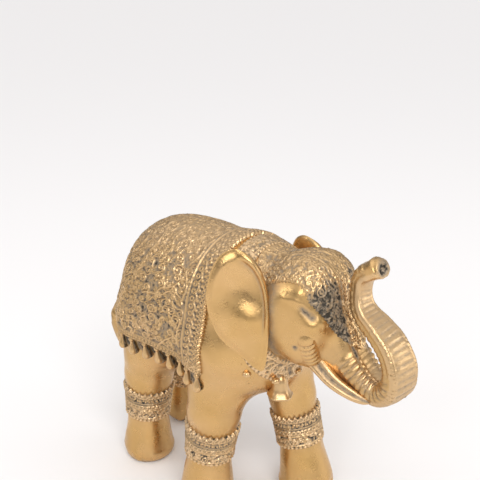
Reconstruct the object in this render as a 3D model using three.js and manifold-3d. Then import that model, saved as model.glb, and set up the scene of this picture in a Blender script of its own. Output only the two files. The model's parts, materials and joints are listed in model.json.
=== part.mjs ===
// A cast stone-resin elephant, walking with its trunk raised: 1 solid, in millimetres.
// +X is the way it walks, +Y its left side, +Z up.
// The origin is on the ground, under the middle of its outline.
import * as THREE from "three";
import { mergeVertices } from "three/addons/utils/BufferGeometryUtils.js";
import Module from "manifold-3d";

// Driving dimensions
const height = 155; // ground to the top of the cloth on its back
const clothThick = 1.5; // saddle cloth above the skin
const hemWidth = 7; // raised border round the cloth
const hemThick = 0.7; // border above the cloth
const bossPitch = 11; // rows of carved leaves over the cloth
const bossHeight = 0.8;
const tasselLength = 11; // fringe tassels under the hem
const tasselPitch = 9.4;
const tasselRadius = 2.5;
const ankletThick = 1.3; // beaded anklets above the leg
const ankletHeight = 20; // up the leg from the ankle
const capThick = 1; // embroidered cap on the forehead
const necklaceHalfWidth = 5;
const necklaceThick = 1.5;
const bellRadius = 6;
const bellHeight = 13;
const earThick = 4;
const tuskRadius = 3.3;
const ridgeDepth = 0.7; // wrinkles across the trunk
const ridgePitch = 5.6;
const buried = 2.5; // how far an applied form reaches under the skin, so that the cast is one
const cell = 6.75; // grid of the faceted skin

// The pose and the proportions below are counted in 155ths of the height.
const unit = height / 155;
const sized = (row) => row.map((value) => value * unit);
const radians = THREE.MathUtils.degToRad;

// Balls of the trunk of the body: centre x, y, z, then radii x, y, z
const torso = [
  [-28, 0, 106, 28, 31, 40],
  [-4, 0, 107, 43, 35, 43.5],
  [27, 0, 108.5, 29, 30.5, 40.5],
  [41, 0, 97, 14, 21, 23],
].map(sized);
// Neck: x, y, z and radius at each end
const neck = [
  [34, 0, 122, 27],
  [58, 0, 127, 22],
].map(sized);
// Legs from the hip down to the sole: x, y, z, radius
const legs = {
  front_right: [[27, -17, 96, 20], [20.5, -20, 58, 14.4], [16, -20, 30, 11.6], [14, -20, 8, 14.7]],
  front_left: [[32, 18, 96, 15], [38, 22, 58, 13], [43, 24.5, 30, 11.4], [46.5, 25.8, 8, 14.9]],
  rear_right: [[-33, -15, 94, 19], [-40, -15, 55, 14], [-42.5, -15, 28.5, 11.2], [-43, -15, 8, 14.7]],
  rear_left: [[-35, 16, 94, 20], [-46, 21, 58, 14], [-57, 24.7, 33, 11.2], [-59.3, 26.6, 11.5, 13.4]],
};
for (const name in legs) legs[name] = legs[name].map(sized);
// The head, before it turns to its left about the neck
const headTurn = radians(8);
const headPivot = 50 * unit;
const skull = [
  [66, 0, 127, 19, 22, 24],
  [70, 8, 137, 13, 12, 14],
  [70, -8, 137, 13, 12, 14],
  [68.5, 10.5, 112.5, 11.5, 11.5, 12.5],
  [68.5, -10.5, 112.5, 11.5, 11.5, 12.5],
  [76, 11, 124, 8, 9, 9],
  [76, -11, 124, 8, 9, 9],
].map(sized);
const jaw = [
  [69, 0, 105.5, 10.5],
  [80, 0, 99.5, 8.5],
].map(sized);
// Trunk, from inside the face to the tip: x, y, z, half width, half depth, and the turn of the section
const trunkStations = [
  [66, 0, 134, 12, 12, 0],
  [75, 0, 125, 12, 11, 0],
  [84, 0, 113.5, 11, 9.5, 0],
  [91, 0, 103.5, 10, 8, 0],
  [99, 0, 96, 9, 6.8, -3],
  [108.5, -1, 93, 8.8, 6, -8],
  [115.8, -3, 98.6, 8.8, 5.5, -12],
  [117, -4, 108.3, 8.6, 5.2, -15],
  [113, -4, 118, 8.1, 5, -15],
  [106, -4, 125.2, 7.3, 4.8, -15],
  [99, -3.5, 130.6, 6.2, 4.4, -15],
  [95.2, -3, 136.5, 5.1, 4, -15],
  [94.2, -2.2, 143.5, 4.7, 3.8, -15],
  [96, -2, 149.8, 5, 4.1, -15],
  [103, -2, 155, 6.2, 5.2, -15],
];
// Ear outline, round from the top of its root: back from the root, up
const earOutline = [
  [5, 22], [10, 28.5], [18, 32], [25, 28.5], [29, 20.5], [30.5, 11], [30, 3], [28, -3.5],
  [23, -13], [13, -21], [5, -27], [1, -26], [0, -11], [0, 2], [2, 14],
].map(sized);
// Where each ear's root is, how far it swings out and how far its top leans in
const ears = {
  right: { side: -1, root: sized([58, 23, 125]), swing: radians(30), lean: radians(5) },
  left: { side: 1, root: sized([63, 27, 118]), swing: radians(12), lean: radians(5) },
};
const earDish = 0.006 / unit; // how fast an ear bends outwards, away from its middle line
const earMiddle = 12 * unit;
const tuskPath = [[70, 9, 107], [79, 11, 101.5], [88, 12, 96], [98, 11, 91.8], [106, 9.5, 89.8]].map(sized);
const tailPath = [
  [-48, 0, 124],
  [-56, -3.5, 112],
  [-61, -8, 98.5],
  [-64.5, -11.5, 90],
  [-67.5, -14, 82],
  [-64.5, -14.3, 72],
  [-57, -15, 64],
].map(sized);
const [tailRoot, tailEnd] = sized([5.8, 3.9]);
const [eyeRadius, ...eyePlace] = sized([3.2, 76, 19.3, 132.7]);
// Where the saddle cloth lies: its hem's height, its front and rear edges,
// and where it starts to round the rump
const [clothHem, clothFront, clothRear, rumpStart, rumpRadius] = sized([88, 29, -56, -24, 33]);
const bodyHalfWidth = 35 * unit;
// Low and high corners of the room that the body and the head fill
const [low, high] = [sized([-78, -46, -9]), sized([96, 46, 162])];

// Distance from a point to a ball with three radii, near enough close to its skin
function ballDistance(x, y, z, [cx, cy, cz, rx, ry, rz]) {
  const u = (x - cx) / rx;
  const v = (y - cy) / ry;
  const w = (z - cz) / rz;
  const reach = Math.hypot(u, v, w);
  return (reach * (reach - 1)) / Math.max(Math.hypot(u / rx, v / ry, w / rz), 1e-9);
}

// Distance to a cone with round ends
function limbDistance(x, y, z, [ax, ay, az, ar], [bx, by, bz, br]) {
  const [dx, dy, dz] = [bx - ax, by - ay, bz - az];
  const along = ((x - ax) * dx + (y - ay) * dy + (z - az) * dz) / (dx * dx + dy * dy + dz * dz);
  const t = Math.min(Math.max(along, 0), 1);
  return Math.hypot(x - ax - t * dx, y - ay - t * dy, z - az - t * dz) - (ar + (br - ar) * t);
}

// Joins two distances with a fillet of about the given size
function blend(a, b, size) {
  const h = Math.max(size - Math.abs(a - b), 0) / size;
  return Math.min(a, b) - (h * h * size) / 4;
}

const bodyFillet = 14 * unit;
const legFillet = 9 * unit;
const jointFillet = 2 * unit;
const headFillet = 8 * unit;

function torsoDistance(x, y, z) {
  const body = torso.map((ball) => ballDistance(x, y, z, ball)).reduce((a, b) => blend(a, b, bodyFillet));
  return blend(body, limbDistance(x, y, z, ...neck), bodyFillet);
}

function legDistance(x, y, z, leg) {
  const parts = leg.slice(1).map((joint, i) => limbDistance(x, y, z, leg[i], joint));
  return parts.reduce((a, b) => blend(a, b, jointFillet));
}

function bodyDistance(x, y, z) {
  const withLeg = (d, leg) => blend(d, legDistance(x, y, z, leg), legFillet);
  return Object.values(legs).reduce(withLeg, torsoDistance(x, y, z));
}

// The head's own frame is the body's, turned about the upright line through the neck
function intoHead(x, y, z) {
  const [c, s] = [Math.cos(headTurn), Math.sin(headTurn)];
  return [(x - headPivot) * c + y * s + headPivot, (headPivot - x) * s + y * c, z];
}
const headPlacing = new THREE.Matrix4()
  .makeTranslation(headPivot, 0, 0)
  .multiply(new THREE.Matrix4().makeRotationZ(headTurn))
  .multiply(new THREE.Matrix4().makeTranslation(-headPivot, 0, 0));

function headShape(x, y, z) {
  const bones = skull.map((ball) => ballDistance(x, y, z, ball)).reduce((a, b) => blend(a, b, headFillet));
  return blend(bones, limbDistance(x, y, z, ...jaw), headFillet);
}

const headDistance = (x, y, z) => headShape(...intoHead(x, y, z));
const skinDistance = (x, y, z) => blend(bodyDistance(x, y, z), headDistance(x, y, z), headFillet);

// Where the four corners of a grid square alternate in and out, two sheets of skin would share one edge.
// The corner nearest to the skin changes sides there, until no square alternates.
function settle(values, [nx, ny, nz], step) {
  const strides = [ny * nz, nz, 1];
  const inside = (n) => values[n] < 0;
  let alternating = true;
  while (alternating) {
    alternating = false;
    for (let n = 0; n < values.length - strides[0] - strides[1]; n++)
      for (const [p, q] of [[0, 1], [0, 2], [1, 2]]) {
        const square = [n, n + strides[p], n + strides[p] + strides[q], n + strides[q]];
        const [a, b, c, d] = square.map(inside);
        if (a !== c || b !== d || a === b) continue;
        const weakest = square.reduce((m, v) => (Math.abs(values[v]) < Math.abs(values[m]) ? v : m));
        values[weakest] = (inside(weakest) ? 1 : -1) * step * 0.02;
        alternating = true;
      }
  }
}

// Faceted skin of a distance function: one vertex in each cell that the skin crosses
function skin(distance, low, high, step) {
  const count = low.map((v, i) => Math.ceil((high[i] - v) / step) + 1);
  const [nx, ny, nz] = count;
  const index = (i, j, k) => (i * ny + j) * nz + k;
  const values = new Float64Array(nx * ny * nz);
  for (let i = 0; i < nx; i++)
    for (let j = 0; j < ny; j++)
      for (let k = 0; k < nz; k++)
        values[index(i, j, k)] = distance(low[0] + i * step, low[1] + j * step, low[2] + k * step);
  settle(values, count, step);
  const corners = [0, 1, 2, 3, 4, 5, 6, 7].map((c) => [c & 1, (c >> 1) & 1, (c >> 2) & 1]);
  const vertexOf = new Map();
  const positions = [];
  for (let i = 0; i < nx - 1; i++)
    for (let j = 0; j < ny - 1; j++)
      for (let k = 0; k < nz - 1; k++) {
        const sum = [0, 0, 0];
        let crossings = 0;
        for (const a of corners)
          for (let axis = 0; axis < 3; axis++) {
            if (a[axis]) continue;
            const b = a.map((v, n) => (n === axis ? 1 : v));
            const fa = values[index(i + a[0], j + a[1], k + a[2])];
            const fb = values[index(i + b[0], j + b[1], k + b[2])];
            if (fa < 0 === fb < 0) continue;
            crossings++;
            a.forEach((v, n) => (sum[n] += v + (n === axis ? fa / (fa - fb) : 0)));
          }
        if (!crossings) continue;
        vertexOf.set(index(i, j, k), positions.length / 3);
        [i, j, k].forEach((v, n) => positions.push(low[n] + (v + sum[n] / crossings) * step));
      }
  const faces = [];
  for (const [key, vertex] of vertexOf) {
    const at = [Math.floor(key / (ny * nz)), Math.floor(key / nz) % ny, key % nz];
    for (let axis = 0; axis < 3; axis++) {
      const far = at.map((v, n) => (n === axis ? v + 1 : v));
      const inside = values[index(...at)] < 0;
      if (inside === values[index(...far)] < 0) continue;
      const [p, q] = [(axis + 1) % 3, (axis + 2) % 3];
      const cellAt = (dp, dq) =>
        vertexOf.get(index(...at.map((v, n) => v - (n === p ? dp : 0) - (n === q ? dq : 0))));
      const ring = [vertex, cellAt(1, 0), cellAt(1, 1), cellAt(0, 1)];
      if (!inside) ring.reverse();
      faces.push(ring[0], ring[1], ring[2], ring[0], ring[2], ring[3]);
    }
  }
  return geometryOf(positions, faces);
}

function geometryOf(positions, faces) {
  const geometry = new THREE.BufferGeometry();
  geometry.setAttribute("position", new THREE.BufferAttribute(new Float32Array(positions), 3));
  geometry.setIndex(faces);
  return geometry;
}

// Closed body from a stack of rings with as many points each, capped at both ends
function stack(rings) {
  const sides = rings[0].length;
  const points = rings.flat();
  const faces = [];
  for (let i = 0; i < rings.length - 1; i++)
    for (let j = 0; j < sides; j++) {
      const [a, b] = [i * sides + j, i * sides + ((j + 1) % sides)];
      faces.push(a, b, b + sides, a, b + sides, a + sides);
    }
  const last = (rings.length - 1) * sides;
  for (let j = 1; j < sides - 1; j++) {
    faces.push(0, j + 1, j);
    faces.push(last, last + j, last + j + 1);
  }
  return geometryOf(points.flatMap((p) => p.toArray()), faces);
}

const turnOf = (j, sides) => (j / sides) * 2 * Math.PI;

// Round bar along a smooth path; radiusAt gives its radius at a share of the path
function bar(path, radiusAt, sides, steps) {
  const curve = new THREE.CatmullRomCurve3(path.map((p) => new THREE.Vector3(...p)));
  const frames = curve.computeFrenetFrames(steps);
  const rings = [];
  for (let i = 0; i <= steps; i++) {
    const centre = curve.getPointAt(i / steps);
    const radius = radiusAt(i / steps);
    rings.push(
      Array.from({ length: sides }, (_, j) =>
        centre
          .clone()
          .addScaledVector(frames.normals[i], Math.cos(turnOf(j, sides)) * radius)
          .addScaledVector(frames.binormals[i], Math.sin(turnOf(j, sides)) * radius),
      ),
    );
  }
  return stack(rings);
}

// How far a ray from a point inside goes before it is the given height above the skin
function reach(distance, from, direction, above, furthest) {
  let [near, far] = [0, furthest];
  for (let i = 0; i < 24; i++) {
    const middle = (near + far) / 2;
    const at = from.clone().addScaledVector(direction, middle);
    if (distance(at.x, at.y, at.z) < above) near = middle;
    else far = middle;
  }
  return (near + far) / 2;
}

// Closed shell over a skin: cast(u, v) says where a ray starts and goes, heightAt(i, j, u, v) its rise above
function shell(distance, columns, rows, cast, heightAt, furthest) {
  const [outer, inner] = [[], []];
  for (const [i, u] of columns.entries())
    for (const [j, v] of rows.entries()) {
      const { from, direction } = cast(u, v);
      const point = (above) =>
        from.clone().addScaledVector(direction, reach(distance, from, direction, above, furthest));
      outer.push(point(heightAt(i, j, u, v)));
      inner.push(point(-buried));
    }
  const [nu, nv] = [columns.length, rows.length];
  const under = nu * nv;
  const faces = [];
  const quad = (a, b, c, d) => faces.push(a, b, c, a, c, d);
  for (let i = 0; i < nu - 1; i++)
    for (let j = 0; j < nv - 1; j++) {
      const a = i * nv + j;
      quad(a, a + nv, a + nv + 1, a + 1);
      quad(under + a, under + a + 1, under + a + nv + 1, under + a + nv);
    }
  for (let i = 0; i < nu - 1; i++) {
    const [a, b] = [i * nv, i * nv + nv - 1];
    quad(a + nv, a, under + a, under + a + nv);
    quad(b, b + nv, under + b + nv, under + b);
  }
  for (let j = 0; j < nv - 1; j++) {
    const b = (nu - 1) * nv + j;
    quad(j, j + 1, under + j + 1, under + j);
    quad(b + 1, b, under + b, under + b + 1);
  }
  return geometryOf([...outer, ...inner].flatMap((p) => p.toArray()), faces);
}

// Closed ring from sections all round it, each with as many points
function hoop(sections) {
  const sides = sections[0].length;
  const faces = [];
  sections.forEach((_, i) => {
    const next = (i + 1) % sections.length;
    for (let j = 0; j < sides; j++) {
      const [a, b] = [i * sides + j, i * sides + ((j + 1) % sides)];
      const [c, d] = [next * sides + j, next * sides + ((j + 1) % sides)];
      faces.push(a, b, d, a, d, c);
    }
  });
  return geometryOf(sections.flat().flatMap((p) => p.toArray()), faces);
}

const wasm = await Module();
wasm.setup();

// A closed geometry as a solid, with its faces turned outwards
function solid(geometry) {
  geometry.deleteAttribute("normal");
  geometry.deleteAttribute("uv");
  const merged = mergeVertices(geometry, 1e-4);
  const vertProperties = new Float32Array(merged.attributes.position.array);
  const corners = merged.index.array;
  const whole = (n) => new Set([corners[n], corners[n + 1], corners[n + 2]]).size === 3;
  const triVerts = new Uint32Array(corners.filter((_, n) => whole(n - (n % 3))));
  const corner = (n) => new THREE.Vector3().fromArray(vertProperties, triVerts[n] * 3);
  let volume = 0;
  for (let n = 0; n < triVerts.length; n += 3) volume += corner(n).dot(corner(n + 1).cross(corner(n + 2)));
  if (volume < 0) triVerts.reverse();
  return new wasm.Manifold(new wasm.Mesh({ numProp: 3, vertProperties, triVerts }));
}

const onHead = (geometry) => geometry.applyMatrix4(headPlacing);

// Saddle cloth: rays fan out from a line along the body at the height of the hem
function clothRay(along, around) {
  const bend = Math.max(rumpStart - along, 0) / rumpRadius;
  return {
    from: new THREE.Vector3(Math.max(along, rumpStart), 0, clothHem),
    direction: new THREE.Vector3(
      -Math.sin(bend),
      Math.cos(bend) * Math.cos(around),
      Math.cos(bend) * Math.sin(around),
    ),
  };
}

// Evenly spaced values with a border at both ends that steps down over a short stretch
function bordered(start, end, border, step, count) {
  const way = Math.sign(end - start);
  const [first, last] = [start + way * (border + step), end - way * (border + step)];
  const middle = Array.from({ length: count + 1 }, (_, i) => first + ((last - first) * i) / count);
  return [start, start + way * border, ...middle, end - way * border, end];
}

function saddleCloth() {
  const borderTurn = hemWidth / bodyHalfWidth;
  const step = hemThick / bodyHalfWidth;
  const bosses = (length) => 2 * Math.round(length / bossPitch) - 1;
  const field = clothFront - clothRear - 2 * hemWidth;
  const columns = bordered(clothFront, clothRear, hemWidth, hemThick, bosses(field));
  const rows = bordered(0, Math.PI, borderTurn, step, bosses(Math.PI * bodyHalfWidth));
  const inBorder = (along, around) =>
    Math.min(clothFront - along, along - clothRear) < hemWidth + hemThick / 2 ||
    Math.min(around, Math.PI - around) < borderTurn + step / 2;
  const heightAt = (i, j, along, around) => {
    if (inBorder(along, around)) return clothThick + hemThick;
    return clothThick + ((i + j) % 2 ? bossHeight : 0);
  };
  return shell(bodyDistance, columns, rows, clothRay, heightAt, high[2]);
}

// Fringe: drops under the hem that follow the skin. Share of the length, share of the radius
const tasselProfile = [[-0.1, 0.4], [0.3, 0.6], [0.7, 1], [1, 0.4]];
const tasselSides = 5;
function tassel(along, side) {
  const { from, direction } = clothRay(along, side < 0 ? Math.PI : 0);
  const rings = tasselProfile.map(([down, share]) => {
    const start = from.clone().setZ(clothHem - down * tasselLength);
    const out = reach(bodyDistance, start, direction, tasselRadius / 3, high[2]);
    const centre = start.clone().addScaledVector(direction, out);
    return Array.from({ length: tasselSides }, (_, j) => {
      const turn = turnOf(j, tasselSides);
      const spread = tasselRadius * share;
      return centre.clone().add(new THREE.Vector3(Math.cos(turn) * spread, Math.sin(turn) * spread, 0));
    });
  });
  return stack(rings);
}

// Anklet: a band with a raised rim above and below. Share of its height, share of its thickness
const ankletProfile = [[0, 0.4], [0.1, 1.4], [0.22, 0.7], [0.78, 0.7], [0.9, 1.4], [1, 0.4]];
function anklet(leg, sides = 14) {
  const [knee, ankle] = [leg[1], leg[2]].map(([x, y, z]) => new THREE.Vector3(x, y, z));
  const axis = knee.sub(ankle).normalize();
  const across = new THREE.Vector3(0, 1, 0).cross(axis).normalize();
  const distance = (x, y, z) => legDistance(x, y, z, leg);
  const point = (up, above, direction) => {
    const from = ankle.clone().addScaledVector(axis, up * ankletHeight);
    return from.clone().addScaledVector(direction, reach(distance, from, direction, above, bodyHalfWidth));
  };
  const sections = Array.from({ length: sides }, (_, j) => {
    const direction = across.clone().applyAxisAngle(axis, turnOf(j, sides));
    const outer = ankletProfile.map(([up, share]) => point(up, share * ankletThick, direction));
    return [...outer, point(1, -buried, direction), point(0, -buried, direction)];
  });
  return hoop(sections);
}

// Necklace: a band round the neck, high behind the ears and low on the chest.
// Share of its half width, rise above the skin
const necklaceProfile = [
  [-1, -buried],
  [-1, 0.3],
  [-0.7, necklaceThick],
  [0.7, necklaceThick],
  [1, 0.3],
  [1, -buried],
];
const necklaceLow = new THREE.Vector3(...sized([57, 0, 90.5]));
const necklaceHigh = new THREE.Vector3(...sized([36, 0, 152]));
function necklace(sides = 20) {
  const middle = necklaceLow.clone().lerp(necklaceHigh, 0.5);
  const rise = necklaceHigh.clone().sub(necklaceLow).normalize();
  const normal = new THREE.Vector3(0, 1, 0).cross(rise);
  const sections = Array.from({ length: sides }, (_, j) => {
    const turn = turnOf(j, sides);
    const direction = new THREE.Vector3(0, Math.cos(turn), 0).addScaledVector(rise, Math.sin(turn));
    return necklaceProfile.map(([along, above]) => {
      const from = middle.clone().addScaledVector(normal, along * necklaceHalfWidth);
      return from.clone().addScaledVector(direction, reach(skinDistance, from, direction, above, high[2]));
    });
  });
  return hoop(sections);
}

// Bell on the chest: share of its height, share of its radius
const bellProfile = [[0, 0], [0, 0.95], [0.1, 1], [0.35, 0.7], [0.75, 0.6], [0.95, 0.35], [1, 0]];
const bellPlace = sized([54, -6, 74.2]);
function bell() {
  const profile = bellProfile.map(([up, share]) => new THREE.Vector2(share * bellRadius, up * bellHeight));
  return new THREE.LatheGeometry(profile, 10).rotateX(Math.PI / 2).translate(...bellPlace);
}

// Embroidered cap over the forehead: rays from the middle of the head, across and from the crown to the brow
const [capAcross, capCrown, capBrow] = [52, 125, 18].map(radians);
const capMiddle = sized([62, 0, 120]);
function cap() {
  const spread = (start, end) => Array.from({ length: 9 }, (_, i) => start + ((end - start) * i) / 8);
  const ray = (across, up) => ({
    from: new THREE.Vector3(...capMiddle),
    direction: new THREE.Vector3(
      Math.cos(up) * Math.cos(across),
      Math.sin(across),
      Math.sin(up) * Math.cos(across),
    ),
  });
  const rows = spread(capBrow, capCrown);
  return onHead(shell(headShape, spread(-capAcross, capAcross), rows, ray, () => capThick, high[2]));
}

// Trunk: sections flat on the under side and round on top, every other one swollen into a wrinkle
const trunkSides = 10;
const nostrilDepth = 3;
const [flatEdge, roundEdge] = [3.6, 2.2]; // how square the section is below and above
function trunkRing(curve, t, share, sunk) {
  const centre = curve.getPoint(t);
  const along = curve.getTangent(t);
  const place = t * (trunkStations.length - 1);
  const from = Math.min(Math.floor(place), trunkStations.length - 2);
  const [width, depth, turn] = [3, 4, 5].map((n) =>
    THREE.MathUtils.lerp(trunkStations[from][n], trunkStations[from + 1][n], place - from),
  );
  const across = new THREE.Vector3(-Math.sin(radians(turn)), Math.cos(radians(turn)), 0);
  const above = along.clone().cross(across).normalize();
  return Array.from({ length: trunkSides }, (_, j) => {
    const [c, s] = [Math.cos(turnOf(j, trunkSides)), Math.sin(turnOf(j, trunkSides))];
    const edge = s < 0 ? flatEdge : roundEdge;
    const radius = (Math.abs(c / width) ** edge + Math.abs(s / depth) ** edge) ** (-1 / edge) * share * unit;
    return centre
      .clone()
      .addScaledVector(across, c * radius)
      .addScaledVector(above, s * radius)
      .addScaledVector(along, -sunk);
  });
}

function trunk() {
  const places = trunkStations.map(([x, y, z]) => new THREE.Vector3(x, y, z).multiplyScalar(unit));
  const curve = new THREE.CatmullRomCurve3(places);
  const steps = Math.round(curve.getLength() / (ridgePitch / 2));
  const swell = ridgeDepth / 2 / (trunkStations[0][4] * unit);
  const rings = [];
  for (let i = 0; i <= steps; i++)
    rings.push(trunkRing(curve, curve.getUtoTmapping(i / steps), 1 + (i % 2 ? -swell : swell), 0));
  rings.push(trunkRing(curve, 1, 0.6, 0), trunkRing(curve, 1, 0.45, nostrilDepth));
  return onHead(stack(rings));
}

// Ear: a dished plate with a rolled rim. Share of the outline about its middle, share of half the thickness
const earProfile = [[0.4, -1], [0.88, -1], [1, -0.3], [1, 0.3], [0.92, 1.3], [0.78, 0.6], [0.4, 0.5]];
const earSides = 20;
function ear({ side, root, swing, lean }) {
  const corners = earOutline.map(([back, up]) => new THREE.Vector3(back, up, 0));
  const edge = new THREE.CatmullRomCurve3(corners, true);
  const outline = edge.getSpacedPoints(earSides).slice(0, earSides);
  const middle = outline.reduce((sum, p) => sum.add(p), new THREE.Vector3()).divideScalar(earSides);
  const place = (back, up, out) => {
    const [x, y] = [
      -back * Math.cos(swing) + out * Math.sin(swing),
      -back * Math.sin(swing) - out * Math.cos(swing),
    ];
    const inwards = y * Math.cos(lean) + up * Math.sin(lean) - root[1];
    const upwards = up * Math.cos(lean) - y * Math.sin(lean) + root[2];
    return new THREE.Vector3(x + root[0], -side * inwards, upwards);
  };
  const rings = earProfile.map(([share, level]) =>
    outline.map((p) => {
      const at = middle.clone().lerp(p, share);
      const dish = earDish * (at.x - earMiddle) ** 2 - unit;
      return place(at.x, at.y, dish + (level * earThick) / 2);
    }),
  );
  return onHead(stack(rings));
}

const mirrored = (path, side) => path.map(([x, y, z]) => [x, y * side, z]);
const tusk = (side) => onHead(bar(mirrored(tuskPath, side), (t) => tuskRadius * (1.15 - 0.65 * t), 8, 7));
const tail = () => bar(tailPath, (t) => THREE.MathUtils.lerp(tailRoot, tailEnd, t), 8, 10);
const eye = (side) => {
  const [x, y, z] = eyePlace;
  return onHead(new THREE.SphereGeometry(eyeRadius, 8, 6).translate(x, y * side, z));
};

// The skin below the ground is cut off, so that all four soles are flat
function ground() {
  const [length, width, depth] = high.map((v, i) => (v - low[i]) * 2);
  return solid(new THREE.BoxGeometry(length, width, depth).translate(0, 0, -depth / 2));
}

function figure() {
  const sides = [-1, 1];
  const fringe = sides.flatMap((side) => {
    const count = Math.round((clothFront - clothRear) / tasselPitch);
    const pitch = (clothFront - clothRear - 2 * tasselRadius) / (count - 1);
    return Array.from({ length: count }, (_, i) => tassel(clothFront - tasselRadius - i * pitch, side));
  });
  const applied = [
    trunk(),
    saddleCloth(),
    ...fringe,
    ...Object.values(legs).map((leg) => anklet(leg)),
    necklace(),
    bell(),
    cap(),
    ...Object.values(ears).map(ear),
    ...sides.map(tusk),
    ...sides.map(eye),
    tail(),
  ];
  const body = solid(skin(skinDistance, low, high, cell));
  const cast = applied.reduce((whole, piece) => whole.add(solid(piece)), body).subtract(ground());
  const { vertProperties, triVerts } = cast.getMesh();
  const geometry = geometryOf(vertProperties, Array.from(triVerts));
  geometry.computeBoundingBox();
  const centre = geometry.boundingBox.getCenter(new THREE.Vector3());
  return geometry.translate(-centre.x, -centre.y, -geometry.boundingBox.min.z);
}

const gold = new THREE.MeshStandardMaterial({
  color: 0xc69a52,
  metalness: 0.6,
  roughness: 0.4,
  flatShading: true,
});
const elephant = new THREE.Mesh(figure(), gold);
elephant.name = "elephant_statue";

export default new THREE.Group().add(elephant);
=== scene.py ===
# A gold-painted stone-resin elephant in a carved saddle cloth: its looks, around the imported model.
# Shapes are worked out in millimetres about the middle of the elephant's body, as in the part's
# source, and placed in the frame in metres: +X the way it walks, +Y its left side, +Z up.
import json
import math

import bpy
import numpy as np
from mathutils import Matrix, Vector


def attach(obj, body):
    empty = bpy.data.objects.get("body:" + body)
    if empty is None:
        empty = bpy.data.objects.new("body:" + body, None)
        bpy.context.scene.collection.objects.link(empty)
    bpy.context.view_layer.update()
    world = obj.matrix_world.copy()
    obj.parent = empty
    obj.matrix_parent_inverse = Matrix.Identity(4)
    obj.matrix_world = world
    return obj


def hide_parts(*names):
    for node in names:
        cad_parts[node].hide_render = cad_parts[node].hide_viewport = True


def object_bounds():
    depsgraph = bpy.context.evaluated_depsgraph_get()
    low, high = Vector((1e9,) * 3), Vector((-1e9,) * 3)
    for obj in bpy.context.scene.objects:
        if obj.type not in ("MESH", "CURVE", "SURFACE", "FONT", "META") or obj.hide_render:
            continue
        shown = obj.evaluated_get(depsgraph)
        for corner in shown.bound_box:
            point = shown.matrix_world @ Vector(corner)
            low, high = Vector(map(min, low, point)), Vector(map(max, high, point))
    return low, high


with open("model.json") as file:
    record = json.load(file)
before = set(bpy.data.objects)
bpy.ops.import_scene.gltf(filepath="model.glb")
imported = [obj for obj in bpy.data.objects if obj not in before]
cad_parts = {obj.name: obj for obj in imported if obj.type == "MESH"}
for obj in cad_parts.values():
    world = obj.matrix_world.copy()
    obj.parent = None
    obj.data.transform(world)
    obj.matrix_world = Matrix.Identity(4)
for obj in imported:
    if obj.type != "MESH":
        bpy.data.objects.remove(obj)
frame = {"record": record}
cad_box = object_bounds()

F = np.float32

# Driving dimensions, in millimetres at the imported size
PACKED_HEIGHT = 159.14  # top of the raised trunk
SOLE = (14, -20)  # the front right foot, which the record's mount names
SKIN_STEP = 1.0  # grid of the body's skin
HEAD_STEP = 0.55  # grid of the head and trunk
CARVED_STEP = 0.34  # grid of the cloth and cap
ANKLET_STEP = 0.38
NECKLACE_STEP = 0.4
CLOTH_THICK = 1.3
RELIEF = 1.05  # carving on the saddle cloth
BURIED = 1.5  # how far the edge of a carved layer sinks into the skin
HEM_DROP = 10.5  # fringe under the hem
TASSEL_PITCH = 9.2
TASSEL_INSET = 3
TASSEL_RADIUS = 2.3
ANKLET_HEIGHT = 21
ANKLET_ROUND = 80  # length of its flat map
NECKLACE_ROUND = 190
BELL_RADIUS = 6.2
BELL_HEIGHT = 13
EAR_THICK = 3.6

unit = (cad_box[1].z - cad_box[0].z) * 1000 / PACKED_HEIGHT
sole = frame["record"]["mounts"][0]["pos_m"]
origin = np.array([sole[0] * 1000 - SOLE[0] * unit, sole[1] * 1000 - SOLE[1] * unit, 0.0])


def placed(points):
    """Points in the statue's millimetres, in the frame's metres."""
    return (np.asarray(points, float) * unit + origin) / 1000


# Pose and proportions, as in the part's source
TORSO = [
    (-28, 0, 106, 28, 31, 40),
    (-4, 0, 107, 43, 35, 43.5),
    (27, 0, 108.5, 29, 30.5, 40.5),
    (41, 0, 97, 14, 21, 23),
]
NECK = [(34, 0, 122, 27), (58, 0, 127, 22)]
LEGS = {
    "front_right": [(27, -17, 96, 20), (20.5, -20, 58, 14.4), (16, -20, 30, 11.6), (14, -20, 8, 14.7)],
    "front_left": [(32, 18, 96, 15), (38, 22, 58, 13), (43, 24.5, 30, 11.4), (46.5, 25.8, 8, 14.9)],
    "rear_right": [(-33, -15, 94, 19), (-40, -15, 55, 14), (-42.5, -15, 28.5, 11.2), (-43, -15, 8, 14.7)],
    "rear_left": [(-35, 16, 94, 20), (-46, 21, 58, 14), (-57, 24.7, 33, 11.2), (-59.3, 26.6, 11.5, 13.4)],
}
HEAD_TURN = math.radians(8)
HEAD_PIVOT = 50
SKULL_SIDE = [(70, 8, 137, 13, 12, 14), (68.5, 10.5, 112.5, 11.5, 11.5, 12.5), (76, 11, 124, 8, 9, 9)]
SKULL = [(66, 0, 127, 19, 22, 24)]
SKULL += [(x, side * y, z, *radii) for x, y, z, *radii in SKULL_SIDE for side in (1, -1)]
JAW = [(69, 0, 105.5, 10.5), (80, 0, 99.5, 8.5)]
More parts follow.
